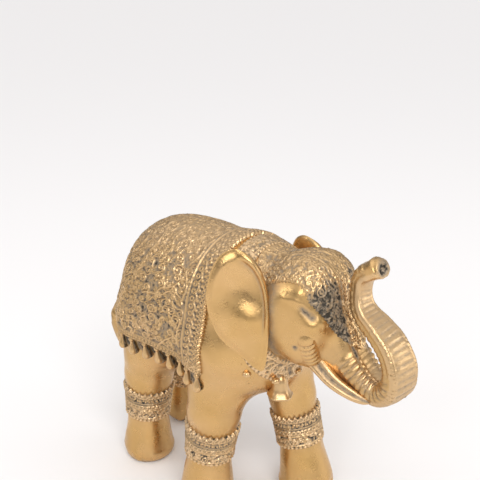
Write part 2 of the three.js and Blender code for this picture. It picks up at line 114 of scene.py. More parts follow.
# Trunk: x, y, z, half width, half depth, turn of the section
TRUNK = [
    (66, 0, 134, 12, 12, 0),
    (75, 0, 125, 12, 11, 0),
    (84, 0, 113.5, 11, 9.5, 0),
    (91, 0, 103.5, 10, 8, 0),
    (99, 0, 96, 9, 6.8, -3),
    (108.5, -1, 93, 8.8, 6, -8),
    (115.8, -3, 98.6, 8.8, 5.5, -12),
    (117, -4, 108.3, 8.6, 5.2, -15),
    (113, -4, 118, 8.1, 5, -15),
    (106, -4, 125.2, 7.3, 4.8, -15),
    (99, -3.5, 130.6, 6.2, 4.4, -15),
    (95.2, -3, 136.5, 5.1, 4, -15),
    (94.2, -2.2, 143.5, 4.7, 3.8, -15),
    (96, -2, 149.8, 5, 4.1, -15),
    (103, -2, 155, 6.2, 5.2, -15),
]
EAR_OUTLINE = [
    (5, 22), (10, 28.5), (18, 32), (25, 28.5), (29, 20.5), (30.5, 11), (30, 3), (28, -3.5),
    (23, -13), (13, -21), (5, -27), (1, -26), (0, -11), (0, 2), (2, 14),
]
# Side, root, swing and lean of each ear
EARS = {
    "right": (-1, (58, 23, 125), math.radians(30), math.radians(5)),
    "left": (1, (64.2, 28.2, 118), math.radians(4), math.radians(5)),
}
EAR_DISH = 0.006
EAR_MIDDLE = 12
TUSK = [(70, 9, 107, 4.2), (79, 11, 101.5, 4), (88, 12, 96, 3.4), (98, 11, 91.8, 2.6), (106, 9.5, 89.8, 1.4)]
TAIL = [
    (-48, 0, 124, 5.8),
    (-56, -3.5, 112, 5.5),
    (-61, -8, 98.5, 5.1),
    (-64.5, -11.5, 90, 5),
    (-67.5, -14, 82, 5),
    (-64.5, -14.3, 72, 4.5),
    (-57, -15, 64, 3.7),
]
CLOTH_HEM, CLOTH_FRONT, CLOTH_REAR = 88, 29, -56
RUMP_START, RUMP_RADIUS = -24, 33  # where the cloth starts to bend round the rump
BODY_FILLET, LEG_FILLET, JOINT_FILLET, HEAD_FILLET, TRUNK_FILLET = 14, 9, 2, 8, 5


def clamp(values):
    return np.clip(values, 0, 1)


# Distance functions: points are rows of x, y, z, and a distance is negative inside
def ball(p, row):
    q = p - np.array(row[:3], F)
    r = np.array(row[3:6], F)
    reach = np.sqrt(((q / r) ** 2).sum(1))
    slope = np.sqrt(((q / (r * r)) ** 2).sum(1))
    return reach * (reach - 1) / np.maximum(slope, 1e-9)


def limb(p, a, b):
    start = np.array(a[:3], F)
    run = np.array(b[:3], F) - start
    q = p - start
    t = clamp(q @ run / (run @ run))
    return np.sqrt(((q - t[:, None] * run) ** 2).sum(1)) - (a[3] + (b[3] - a[3]) * t)


def blend(a, b, size):
    h = np.maximum(size - np.abs(a - b), 0) / size
    return np.minimum(a, b) - h * h * size / 4


def leg_distance(p, leg):
    d = limb(p, leg[0], leg[1])
    for a, b in zip(leg[1:], leg[2:]):
        d = blend(d, limb(p, a, b), JOINT_FILLET)
    return d


def body_distance(p):
    d = ball(p, TORSO[0])
    for row in TORSO[1:]:
        d = blend(d, ball(p, row), BODY_FILLET)
    d = blend(d, limb(p, *NECK), BODY_FILLET)
    for leg in LEGS.values():
        d = blend(d, leg_distance(p, leg), LEG_FILLET)
    return d


def into_head(p):
    c, s = math.cos(HEAD_TURN), math.sin(HEAD_TURN)
    x = p[:, 0] - HEAD_PIVOT
    return np.stack([x * c + p[:, 1] * s + HEAD_PIVOT, p[:, 1] * c - x * s, p[:, 2]], 1).astype(F)


def out_of_head(p):
    c, s = math.cos(HEAD_TURN), math.sin(HEAD_TURN)
    x = p[:, 0] - HEAD_PIVOT
    return np.stack([x * c - p[:, 1] * s + HEAD_PIVOT, p[:, 1] * c + x * s, p[:, 2]], 1)


def skull_distance(h):
    d = ball(h, SKULL[0])
    for row in SKULL[1:]:
        d = blend(d, ball(h, row), HEAD_FILLET)
    return blend(d, limb(h, *JAW), HEAD_FILLET)


def smooth_path(rows, steps):
    """Points of a Catmull-Rom curve through the rows, with the rows' other values carried along."""
    rows = np.array(rows, float)
    rows = np.vstack([2 * rows[0] - rows[1], rows, 2 * rows[-1] - rows[-2]])
    t = (np.arange(steps) / steps)[:, None]
    out = []
    for a, b, c, d in zip(rows, rows[1:], rows[2:], rows[3:]):
        bent = 2 * b + (c - a) * t + (2 * a - 5 * b + 4 * c - d) * t**2
        out.append(0.5 * (bent + (3 * b - a - 3 * c + d) * t**3))
    return np.vstack([*out, rows[-2]])


TRUNK_PATH = smooth_path(TRUNK, 6)
TRUNK_RUNS = np.linalg.norm(np.diff(TRUNK_PATH[:, :3], axis=0), axis=1)
TRUNK_ALONG = np.concatenate([[0], np.cumsum(TRUNK_RUNS)])
FLAT_EDGE, ROUND_EDGE = 3.6, 2.2  # how square the trunk's section is below and above


def trunk_place(h):
    """Distance to the trunk, the place along it, and the place across and above its section."""
    best = np.full(len(h), 1e9, F)
    out = np.zeros((4, len(h)), F)
    out[0] = 60
    for n, (a, b) in enumerate(zip(TRUNK_PATH, TRUNK_PATH[1:])):
        run = (b - a)[:3]
        length = np.linalg.norm(run)
        t = clamp((h - a[:3].astype(F)) @ run.astype(F) / length**2)
        row = a.astype(F) + t[:, None] * (b - a).astype(F)
        r = h - row[:, :3]
        gap = (r * r).sum(1)
        near = gap < best
        if not near.any():
            continue
        row, r, t = row[near], r[near], t[near]
        turn = np.radians(row[:, 5])
        across = np.stack([-np.sin(turn), np.cos(turn), 0 * turn], 1)
        along = (run / length).astype(F)
        above = np.cross(along[None, :], across)
        above /= np.linalg.norm(above, axis=1)[:, None]
        u = (r * across).sum(1) / row[:, 3]
        v = (r * above).sum(1) / row[:, 4]
        edge = np.where(v < 0, FLAT_EDGE, ROUND_EDGE)
        share = (np.abs(u) ** edge + np.abs(v) ** edge) ** (1 / edge)
        s = (share - 1) * np.minimum(row[:, 3], row[:, 4])
        past = r @ along
        s = np.sqrt(np.maximum(s, 0) ** 2 + past**2) + np.minimum(s, 0)
        best[near] = gap[near]
        out[:, near] = [s, TRUNK_ALONG[n] + t * length, u, v]
    return out


def trunk_distance(h):
    low, high = TRUNK_PATH[:, :3].min(0) - 20, TRUNK_PATH[:, :3].max(0) + 20
    near = ((h > low) & (h < high)).all(1)
    out = np.full(len(h), 60, F)
    out[near] = trunk_place(h[near])[0]
    return out


def head_distance(p):
    return skull_distance(into_head(p))


def skin_distance(p):
    return blend(body_distance(p), head_distance(p), HEAD_FILLET)


# The head piece reaches back and down to a stepped cut inside the body, and the body a little past it
CUT_X, CUT_Z, OVERLAP = 47, 84, 5


def body_piece_distance(p):
    cut = np.minimum(p[:, 0] - CUT_X - OVERLAP, p[:, 2] - CUT_Z - OVERLAP)
    return np.maximum.reduce([skin_distance(p), cut, -p[:, 2]])


def face_distance(p):
    h = into_head(p)
    d = blend(body_distance(p), skull_distance(h), HEAD_FILLET)
    return blend(d, trunk_distance(h), TRUNK_FILLET)


def head_piece_distance(p):
    d = face_distance(p)
    return np.maximum.reduce([d, CUT_X - p[:, 0], CUT_Z - p[:, 2]])


def slope(distance, p, step=0.15):
    """Unit outward direction of a distance function, and the distance itself."""
    d = distance(p)
    g = np.stack([distance(p + np.eye(3, dtype=F)[i] * step) - d for i in range(3)], 1) / step
    size = np.maximum(np.linalg.norm(g, axis=1), 1e-6)
    return g / size[:, None], d, size


def settled(distance, p, rounds=3):
    """Points moved onto the skin, and the outward directions there."""
    for _ in range(rounds):
        g, d, size = slope(distance, p)
        p = (p - g * np.clip(d / size, -1, 1)[:, None]).astype(F)
    return p, slope(distance, p)[0]


CORNERS = [(a, b, c) for a in (0, 1) for b in (0, 1) for c in (0, 1)]


def sampled(distance, low, high, step):
    """Values of a distance function on a grid."""
    count = np.ceil((np.array(high) - low) / step).astype(int) + 1
    axes = [low[i] + step * np.arange(count[i], dtype=F) for i in range(3)]
    values = np.empty(count, F)
    for i, x in enumerate(axes[0]):
        sheet = np.stack(np.meshgrid([x], axes[1], axes[2], indexing="ij"), -1).reshape(-1, 3)
        values[i] = distance(sheet.astype(F)).reshape(count[1:])
    return values


def cell_points(values, cells):
    """The mean of the places where the skin crosses each cell's edges, counted in cells."""
    sums = np.zeros((len(cells), 3))
    crossings = np.zeros(len(cells))
    for corner in CORNERS:
        for axis in range(3):
            if corner[axis]:
                continue
            a = cells + corner
            b = a + np.eye(3, dtype=int)[axis]
            fa, fb = values[tuple(a.T)], values[tuple(b.T)]
            crossed = (fa < 0) != (fb < 0)
            t = np.where(crossed, fa / np.where(crossed, fa - fb, 1), 0)
            point = np.array(corner, float) + t[:, None] * np.eye(3)[axis]
            sums += np.where(crossed[:, None], point, 0)
            crossings += crossed
    return cells + sums / crossings[:, None]


def faces_across(inside, index, axis):
    """A face between four cells for each grid edge along the axis that the skin crosses."""
    p, q = (axis + 1) % 3, (axis + 2) % 3
    near, far = [slice(1, -1)] * 3, [slice(1, -1)] * 3
    near[axis], far[axis] = slice(0, -1), slice(1, None)
    a, b = inside[tuple(near)], inside[tuple(far)]
    at = np.argwhere(a != b)
    at[:, p] += 1
    at[:, q] += 1
    ring = []
    for back_p, back_q in [(0, 0), (1, 0), (1, 1), (0, 1)]:
        cell = at.copy()
        cell[:, p] -= back_p
        cell[:, q] -= back_q
        ring.append(index[tuple(cell.T)])
    quads = np.stack(ring, 1)
    outward = a[a != b]
    quads[~outward] = quads[~outward][:, ::-1]
    return quads


def surface_net(distance, low, high, step):
    """Faceted skin of a distance function: one vertex in each grid cell that the skin crosses."""
    low = np.array(low, F)
    values = sampled(distance, low, high, step)
    inside = values < 0
    ends = (slice(0, -1), slice(1, None))
    total = sum(inside[ends[a], ends[b], ends[c]].astype(np.int8) for a, b, c in CORNERS)
    cells = np.argwhere((total > 0) & (total < 8))
    index = np.full(total.shape, -1)
    index[tuple(cells.T)] = np.arange(len(cells))
    points = low + step * cell_points(values, cells)
    faces = np.concatenate([faces_across(inside, index, axis) for axis in range(3)])
    return points.astype(F), faces


def grid_faces(index):
    """Four-sided faces between the points of a grid of point numbers."""
    return np.stack([index[:-1, :-1], index[:-1, 1:], index[1:, 1:], index[1:, :-1]], -1).reshape(-1, 4)


def ring_faces(rings, sides):
    """Faces between rings of points, each ring closed on itself."""
    index = np.arange(rings * sides).reshape(rings, sides)
    return grid_faces(np.hstack([index, index[:, :1]]))


def turned_over(faces):
    return faces[:, [0, 3, 2, 1]]


def joined(parts):
    """One mesh out of several pairs of points and four-sided faces."""
    points, faces, start = [], [], 0
    for p, f in parts:
        points.append(p)
        faces.append(f + start)
        start += len(p)
    return np.concatenate(points), np.concatenate(faces)


def make(name, points, faces, wash_and_shade, rub_and_highlight):
    """A piece of the cast, with two values at each point: how dark it is painted, by the dark wash left in
    the hollows and by painted shade, and how far it is painted bright, by wear and by painted highlights.
    """
    mesh = bpy.data.meshes.new(name)
    sides = faces.shape[1]
    mesh.vertices.add(len(points))
    mesh.vertices.foreach_set("co", placed(points).astype(F).ravel())
    mesh.loops.add(faces.size)
    mesh.loops.foreach_set("vertex_index", faces.astype(np.int32).ravel())
    mesh.polygons.add(len(faces))
    mesh.polygons.foreach_set("loop_start", np.arange(len(faces), dtype=np.int32) * sides)
    mesh.polygons.foreach_set("use_smooth", np.ones(len(faces), bool))
    mesh.update(calc_edges=True)
    for key, values in (("wash_and_shade", wash_and_shade), ("rub_and_highlight", rub_and_highlight)):
        layer = mesh.attributes.new(key, "FLOAT", "POINT")
        layer.data.foreach_set("value", clamp(values).astype(F))
    mesh.materials.append(GILT)
    thing = bpy.data.objects.new(name, mesh)
    bpy.context.scene.collection.objects.link(thing)
    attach(thing, "root")
    return thing


WAVES = 9
CROWDED = 0.22  # mean height of a stretch that takes no more scrolls


def waves(x, y, seed, size):
    """Smooth pseudo-random field between about -1 and 1, with features of the given size."""
    draw = np.random.default_rng(seed)
    total = np.zeros(np.broadcast(x, y).shape)
    for _ in range(WAVES):
        turn, pace, phase = draw.uniform(0, 2 * np.pi), draw.uniform(0.6, 1.5), draw.uniform(0, 2 * np.pi)
        total += np.sin((x * np.cos(turn) + y * np.sin(turn)) * 2 * np.pi * pace / size + phase)
    return total * 2 / WAVES


class Relief:
    """Height map in 0 to 1 over a stretch of skin, drawn with strokes; sizes in millimetres."""

    def __init__(self, wide, tall, step, wraps=False):
        self.step, self.wraps = step, wraps
        self.columns = int(round(wide / step)) + (0 if wraps else 1)
        self.rows = int(round(tall / step)) + 1
        self.wide, self.tall = wide, tall
        self.height = np.zeros((self.columns, self.rows))
        self.x = np.arange(self.columns)[:, None] * (wide / (self.columns - (0 if wraps else 1)))
        self.y = np.arange(self.rows)[None, :] * (tall / (self.rows - 1))

    def near(self, cx, cy, reach):
        """The columns and the rows within reach of a point."""
        columns = np.searchsorted(self.x[:, 0], [cx - reach, cx + reach])
        rows = np.searchsorted(self.y[0], [cy - reach, cy + reach])
        return slice(*columns), slice(*rows)

    def stamp(self, cx, cy, reach, shape):
        """Raises the map to shape(x, y) within reach of a point."""
        for shift in (-self.wide, 0, self.wide) if self.wraps else (0,):
            columns, rows = self.near(cx + shift, cy, reach)
            window = self.height[columns, rows]
            np.maximum(window, shape(self.x[columns] - shift, self.y[:, rows]), out=window)

    def clear(self, where):
        self.height[np.broadcast_to(where, self.height.shape)] = 0

    def stroke(self, points, widths, height=1.0):
        """A raised line through the points, with a half width at each."""
        points = np.asarray(points, float)
        widths = np.broadcast_to(np.asarray(widths, float), len(points))
        for (ax, ay), (bx, by), wa, wb in zip(points, points[1:], widths, widths[1:]):
            dx, dy = bx - ax, by - ay
            span = max(dx * dx + dy * dy, 1e-9)

            def ridge(x, y):
                t = clamp(((x - ax) * dx + (y - ay) * dy) / span)
                d2 = (x - ax - t * dx) ** 2 + (y - ay - t * dy) ** 2
                return height * clamp(1.7 * (1 - d2 / (wa + (wb - wa) * t) ** 2))

            reach = math.sqrt(span) / 2 + max(wa, wb)
            self.stamp((ax + bx) / 2, (ay + by) / 2, reach, ridge)

    def upright(self, x, width, height=1.0):
        self.stroke([(x, 0), (x, self.tall)], width, height)

    def level(self, y, width, height=1.0):
        self.stroke([(0, y), (self.wide, y)], width, height)

    def free(self, cx, cy, radius):
        """Whether little is drawn yet within a radius of a point."""
        window = self.height[self.near(cx, cy, radius)]
        return window.size > 0 and window.mean() < CROWDED

    def dot(self, cx, cy, radius, height=1.0):
        def dome(x, y):
            return height * np.sqrt(clamp(1 - ((x - cx) ** 2 + (y - cy) ** 2) / radius**2))

        self.stamp(cx, cy, radius, dome)

    def ring(self, cx, cy, radius, width, height=1.0):
        def band(x, y):
            d = np.abs(np.hypot(x - cx, y - cy) - radius)
            return height * clamp(1.7 * (1 - (d / width) ** 2))

        self.stamp(cx, cy, radius + width, band)

    def leaf(self, cx, cy, turn, length, width, height=1.0):
        """A pointed leaf from its foot at cx, cy, with a vein."""
        c, s = math.cos(turn), math.sin(turn)

        def blade(x, y):
            u = ((x - cx) * c + (y - cy) * s) / length
            v = np.abs((y - cy) * c - (x - cx) * s) / width
            half = np.sqrt(clamp(u * (1 - u))) * 2 * (1 - 0.45 * u)
            body = clamp(1.6 * (half - v)) * (u > 0) * (u < 1)
            return height * body * (1 - 0.45 * clamp(1 - v * width / 0.25))

        self.stamp(cx + c * length / 2, cy + s * length / 2, length / 2 + width, blade)

    def scroll(self, cx, cy, radius, turn, hand, width, turns=1.35):
        """A spiral that winds in to a small bead, and where its outer end is and points."""
        t = np.linspace(0, 1, 22)
        angle = turn + hand * t * turns * 2 * np.pi
        r = radius * (1 - 0.72 * t)
        path = np.stack([cx + r * np.cos(angle), cy + r * np.sin(angle)], 1)
        self.stroke(path, width * (1 - 0.35 * t))
        self.dot(*path[-1], width * 1.25)
        return path[0], turn - hand * np.pi / 2


def branch(relief, start, heading, length, bend, width, draw):
    """A tapering stem from a point, with leaves that fork off it."""
    t = np.linspace(0, 1, 9)
    angle = heading + bend * t
    steps = np.stack([np.cos(angle), np.sin(angle)], 1) * length / 8
    path = np.array(start) + np.cumsum(np.vstack([[0, 0], steps[:-1]]), 0)
    relief.stroke(path, width * (1 - 0.5 * t))
    for n in (3, 6):
        side = draw.choice([-1, 1])
        turn = angle[n] + side * draw.uniform(0.5, 1.0)
        relief.leaf(*path[n], turn, draw.uniform(2.2, 3.6), draw.uniform(0.6, 0.9))
    return path[-1], angle[-1]


def vine(relief, start, heading, length, big, fine, draw):
    """A long stem that wanders over the cloth, with scrolls and leaves to either side of it."""
    point, bend, side = np.array(start, float), draw.uniform(-0.12, 0.12), draw.choice([-1, 1])
    path, headings = [point], [heading]
    for n in range(int(length)):
        if n % 6 == 5:
            bend = draw.uniform(-0.16, 0.16)
        heading += bend
        point = point + np.array([math.cos(heading), math.sin(heading)])
        path.append(point)
        headings.append(heading)
    relief.stroke(path, np.linspace(fine * 1.25, fine * 0.8, len(path)))
    for n in range(3, len(path) - 1, 6):
        side = -side
        radius = big * draw.choice([0.55, 0.75, 1.0])
        away = np.array([-math.sin(headings[n]), math.cos(headings[n])]) * side
        centre = path[n] + away * radius
        if relief.free(*centre, radius):
            relief.scroll(*centre, radius, math.atan2(-away[1], -away[0]), side, fine)
        for lean in (0.5, 1.1):
            relief.leaf(*path[n], headings[n] - side * lean, draw.uniform(3, 5), draw.uniform(0.6, 1.0))


def filigree(relief, x0, x1, y0, y1, seed, pitch=6.4, big=3.3, fine=0.5, low=0.85):
    """All-over scrollwork between the given edges: scrolls, leaves and dots in what space is left."""
    draw = np.random.default_rng(seed)
    for _ in range(int((x1 - x0) * (y1 - y0) / pitch**2 * 5)):
        x, y = draw.uniform(x0, x1), draw.uniform(y0, y1)
        radius = big * draw.choice([0.5, 0.65, 1.0], p=[0.45, 0.3, 0.25])
        turn, hand = draw.uniform(0, 2 * np.pi), draw.choice([-1, 1])
        if relief.free(x, y, radius * 0.9):
            end, heading = relief.scroll(x, y, radius, turn, hand, fine)
            branch(relief, end, heading, draw.uniform(3, 7), draw.uniform(-1.2, 1.2), fine, draw)
    for _ in range(int((x1 - x0) * (y1 - y0) / 3)):
        x, y, turn = draw.uniform(x0, x1), draw.uniform(y0, y1), draw.uniform(0, 2 * np.pi)
        if relief.free(x, y, 1.1):
            relief.leaf(x, y, turn, draw.uniform(1.8, 3.2), draw.uniform(0.5, 0.8), low)
        elif relief.free(x, y, 0.5):
            relief.dot(x, y, draw.uniform(0.35, 0.6), draw.uniform(0.5, 0.9) * low)


def layer(name, relief, skin_points, skin_normals, base, rise, wash_and_shade, rub_and_highlight, keep=None):
    """A carved layer over the skin: its grid is the relief's, its edge sinks into the skin."""
    columns, rows = relief.columns, relief.rows
    lift = base + rise * relief.height
    edge = np.zeros((columns, rows), bool)
    edge[:, [0, -1]] = True
    if not relief.wraps:
        edge[[0, -1], :] = True
    if keep is not None:
        edge |= ~keep
    lift = np.where(edge, -BURIED, lift)
    points = skin_points + skin_normals * lift.reshape(-1, 1)
    index = np.arange(columns * rows).reshape(columns, rows)
    if relief.wraps:
        index = np.vstack([index, index[:1]])
    faces = turned_over(grid_faces(index))
    faces = faces[~edge.ravel()[faces].all(1)]
    used, faces = np.unique(faces, return_inverse=True)
    faces = faces.reshape(-1, 4)
    points = points[used]
    first, second, last = (points[faces[:, corner]] for corner in (0, 1, 3))
    facing = np.einsum("ij,ij->i", np.cross(second - first, last - first), skin_normals[used][faces[:, 0]])
    if facing.sum() < 0:
        faces = faces[:, ::-1]
    return make(name, points, faces, wash_and_shade.ravel()[used], rub_and_highlight.ravel()[used])


def dropped(distance, starts, directions, furthest=90, stride=3):
    """Where rays that start inside first leave the skin."""
    near = np.zeros(len(starts), F)
    going = np.ones(len(starts), bool)
    for _ in range(furthest // stride):
        going &= distance((starts + directions * (near + stride)[:, None]).astype(F)) < 0
        near = np.where(going, near + stride, near)
    far = near + stride
    for _ in range(8):
        middle = (near + far) / 2
        inside = distance((starts + directions * middle[:, None]).astype(F)) < 0
        near, far = np.where(inside, middle, near), np.where(inside, far, middle)
    return (starts + directions * near[:, None]).astype(F)


def worn_top(raised):
    """How far the tops of the carving are worn bright."""
    return clamp(1.3 * raised - 0.4)


def bilinear(grid, x, y):
    """Values of a grid at fractional places: x and y count its columns and rows."""
    i = np.clip(x.astype(int), 0, grid.shape[0] - 2)
    j = np.clip(y.astype(int), 0, grid.shape[1] - 2)
    s, t = (x - i)[..., None], (y - j)[..., None]
    low = grid[i, j] * (1 - s) + grid[i + 1, j] * s
    high = grid[i, j + 1] * (1 - s) + grid[i + 1, j + 1] * s
    return low * (1 - t) + high * t


def laid(relief, distance, rays, u_range, v_range, coarse=40):
    """The relief's grid laid on the skin: rays(u, v) start inside. Rows are spread evenly along the skin."""
    u = np.linspace(*u_range, coarse + 1)
    v = np.linspace(*v_range, coarse + 1)
    grid_u, grid_v = np.meshgrid(u, v, indexing="ij")
    starts, directions = rays(grid_u.ravel(), grid_v.ravel())
    hits = dropped(distance, starts, directions).reshape(coarse + 1, coarse + 1, 3)
    lengths = np.linalg.norm(np.diff(hits, axis=1), axis=2).mean(0)
    climbed = np.concatenate([[0], np.cumsum(lengths)])
    spans = np.linalg.norm(np.diff(hits, axis=0), axis=2).mean(1)
    passed = np.concatenate([[0], np.cumsum(spans)])
    row_share = np.interp(np.linspace(0, climbed[-1], relief.rows), climbed, np.arange(coarse + 1))
    if relief.wraps:
        column_share = np.arange(relief.columns) * coarse / relief.columns
    else:
        column_share = np.interp(np.linspace(0, passed[-1], relief.columns), passed, np.arange(coarse + 1))
    x, y = np.meshgrid(column_share, row_share, indexing="ij")
    points = bilinear(hits, x, y).reshape(-1, 3).astype(F)
    return settled(distance, points, 2)


# Materials: worn gold paint over a dark wash that stays in the carving; the dark colours also paint shade,
# and the worn colour also paints highlights
GOLD = (0.59, 0.365, 0.135)
GOLD_WARM = (0.66, 0.42, 0.19)
GOLD_WORN_AND_HIGHLIGHT = (0.76, 0.54, 0.32)
WASH_AND_SHADE_GREY = (0.19, 0.17, 0.145)
WASH_AND_SHADE_BROWN = (0.035, 0.028, 0.018)
# On bare gold and where the wash and the painted shade are thickest
METALLIC = (0.94, 0.15)
ROUGHNESS = (0.27, 0.62)
ROUGHNESS_SPREAD = (-0.04, 0.09)
GRAIN_HEIGHT = 0.0003


def set_range(node, *values):
    for name, value in zip(("From Min", "From Max", "To Min", "To Max"), values):
        node.inputs[name].default_value = value


class Nodes:
    """The shader nodes of one material."""

    def __init__(self, tree):
        self.nodes, self.links = tree.nodes, tree.links
        self.place = self.nodes.new("ShaderNodeTexCoord").outputs["Object"]

    def noise(self, scale, detail, roughness=0.5):
        node = self.nodes.new("ShaderNodeTexNoise")
        for name, value in (("Scale", scale), ("Detail", detail), ("Roughness", roughness)):
            node.inputs[name].default_value = value
        self.links.new(self.place, node.inputs["Vector"])
        return node.outputs["Fac"]

    def ramp(self, source, low, high, to_low=0.0, to_high=1.0):
        node = self.nodes.new("ShaderNodeMapRange")
        set_range(node, low, high, to_low, to_high)
        self.links.new(source, node.inputs["Value"])
        return node.outputs["Result"]

    def combined(self, operation, a, b):
        node = self.nodes.new("ShaderNodeMath")
        node.operation = operation
        node.use_clamp = True
        self.links.new(a, node.inputs[0])
        self.links.new(b, node.inputs[1])
        return node.outputs["Value"]

    def mixed(self, share, a, b):
        """Colour a where the share is 0 and colour b where it is 1."""
        node = self.nodes.new("ShaderNodeMix")
        node.data_type = "RGBA"
        self.links.new(share, node.inputs["Factor"])
        sockets = {socket.name: socket for socket in node.inputs if socket.type == "RGBA"}
        for name, value in (("A", a), ("B", b)):
            if isinstance(value, tuple):
                sockets[name].default_value = (*value, 1)
            else:
                self.links.new(value, sockets[name])
        return [socket for socket in node.outputs if socket.type == "RGBA"][0]

    def painted(self, name):
        node = self.nodes.new("ShaderNodeAttribute")
        node.attribute_name = name
        return node.outputs["Fac"]


def gilt():
    material = bpy.data.materials.new("gilt_resin_look")
    material.use_nodes = True
    tree = Nodes(material.node_tree)
    speckle = tree.ramp(tree.noise(520, 3, 0.6), 0.3, 0.62, 0.55, 1.15)
    wash_and_shade = tree.combined("MULTIPLY", tree.painted("wash_and_shade"), speckle)
    gold = tree.mixed(tree.ramp(tree.noise(38, 4), 0.32, 0.68), GOLD, GOLD_WARM)
    brightened = tree.mixed(tree.painted("rub_and_highlight"), gold, GOLD_WORN_AND_HIGHLIGHT)
    dark = tree.mixed(tree.ramp(wash_and_shade, 0.72, 1.0), WASH_AND_SHADE_GREY, WASH_AND_SHADE_BROWN)
    spread = tree.ramp(tree.noise(160, 4), 0.35, 0.65, *ROUGHNESS_SPREAD)
    bump = tree.nodes.new("ShaderNodeBump")
    bump.inputs["Strength"].default_value = 0.25
    bump.inputs["Distance"].default_value = GRAIN_HEIGHT
    tree.links.new(tree.noise(900, 3), bump.inputs["Height"])
    looks = {
        "Base Color": tree.mixed(wash_and_shade, brightened, dark),
        "Metallic": tree.ramp(wash_and_shade, 0, 1, *METALLIC),
        "Roughness": tree.combined("ADD", tree.ramp(wash_and_shade, 0, 1, *ROUGHNESS), spread),
        "Normal": bump.outputs["Normal"],
    }
    for name, source in looks.items():
        tree.links.new(source, tree.nodes["Principled BSDF"].inputs[name])
    return material


GILT = gilt()


# Body: trunk of the body, neck and legs, with toenails
FOOT_TURN = math.radians(8)  # outwards
NAIL_TURNS = (-62, -22, 22, 62)  # degrees from the foot's front
NAIL_MIDDLE, NAIL_HALF_WIDTH, NAIL_HALF_HEIGHT, NAIL_RISE = 4.2, 3.4, 3.6, 0.8


def toenails(p):
    lift = np.zeros(len(p))
    for name, leg in LEGS.items():
        x, y, z, radius = leg[3]
        out = np.hypot(p[:, 0] - x, p[:, 1] - y)
        front = -FOOT_TURN if name.endswith("right") else FOOT_TURN
        angle = np.arctan2(p[:, 1] - y, p[:, 0] - x) - front
        for turn in NAIL_TURNS:
            u = (angle - math.radians(turn)) * radius / NAIL_HALF_WIDTH
            v = (p[:, 2] - NAIL_MIDDLE) / NAIL_HALF_HEIGHT
            nail = np.sqrt(clamp(1 - u * u - v * v)) * (out > radius * 0.5)
            lift = np.maximum(lift, NAIL_RISE * nail)
    return lift


def uneven(points):
    """The slight hand-made unevenness of a carved master."""
    x, y, z = points.T
    return 0.16 * waves(x + 0.4 * y, z, 51, 19) + 0.1 * waves(x - y, z + 0.3 * x, 52, 9)


def fringe_shadow(x, y, z):
    """Painted shadow on the skin between the tassels, under the hem."""
    along, depth = cloth_along(x, y), CLOTH_HEM - z
    between = 0.5 - 0.5 * np.cos(2 * np.pi * (CLOTH_FRONT - TASSEL_INSET - along) / TASSEL_PITCH)
    shadow = step_up(between, 0.25, 0.5) * (depth > -2) * (1 - step_up(depth, 6.5, 7.5 + 1.5 * between))
    return shadow * (along < CLOTH_FRONT - 2) * (along > CLOTH_REAR) * (np.abs(y) > 6)


def dark_clouds_and_soles(x, z):
    """Faint clouds of dark paint, and darker towards the bottom of the feet."""
    return 0.12 * clamp(waves(x, z, 3, 22)) + clamp((2.2 - z) / 2.2) * 0.6


def body():
    points, faces = surface_net(body_piece_distance, (-80, -47, -2.3), (64, 47, 158), SKIN_STEP)
    points, normals = settled(body_piece_distance, points)
    points = points + normals * (toenails(points) + uneven(points))[:, None]
    x, y, z = points.T
    # Painted shadow between the tassels, faint clouds of dark paint, and darker towards the bottom of the
    # feet
    wash_and_shade = np.maximum(0.95 * fringe_shadow(x, y, z), dark_clouds_and_soles(x, z))
    return make("elephant_body", points, faces, wash_and_shade, np.zeros(len(points)))


# Head: face, trunk with its wrinkles, and the tusks
def lobes(along, pitch):
    """Rounded ridges with narrow grooves between them, 0 to 1."""
    t = 2 * np.abs(along / pitch - np.floor(along / pitch) - 0.5)
    return np.sqrt(clamp(1 - t * t))


def hump(value, width):
    """1 at 0, and fading to either side."""
    return np.exp(-((value / width) ** 2))


def arch(value, middle, half):
    """1 at the middle, and 0 from half a width away."""
    return clamp(1 - ((value - middle) / half) ** 2)


def step_up(value, low, high):
    t = clamp((value - low) / (high - low))
    return t * t * (3 - 2 * t)


# Pitches of the wrinkles, and the stretches along the trunk over which they start or end
DORSAL_PITCH, FLANK_PITCH, RUNG_PITCH = 3.1, 3.5, 3.0
WRINKLES_START, WRINKLES_END = (24, 32), (133, 136)
DORSAL_START = (30, 36)
FLANK_START, FLANK_END = (33, 41), (72, 84)
RUNGS_START, RUNGS_END = (58, 66), (122, 128)
RIM_START = (60, 70)
SEAM_END, DARK_SEAM_END = (60, 75), (36, 44)


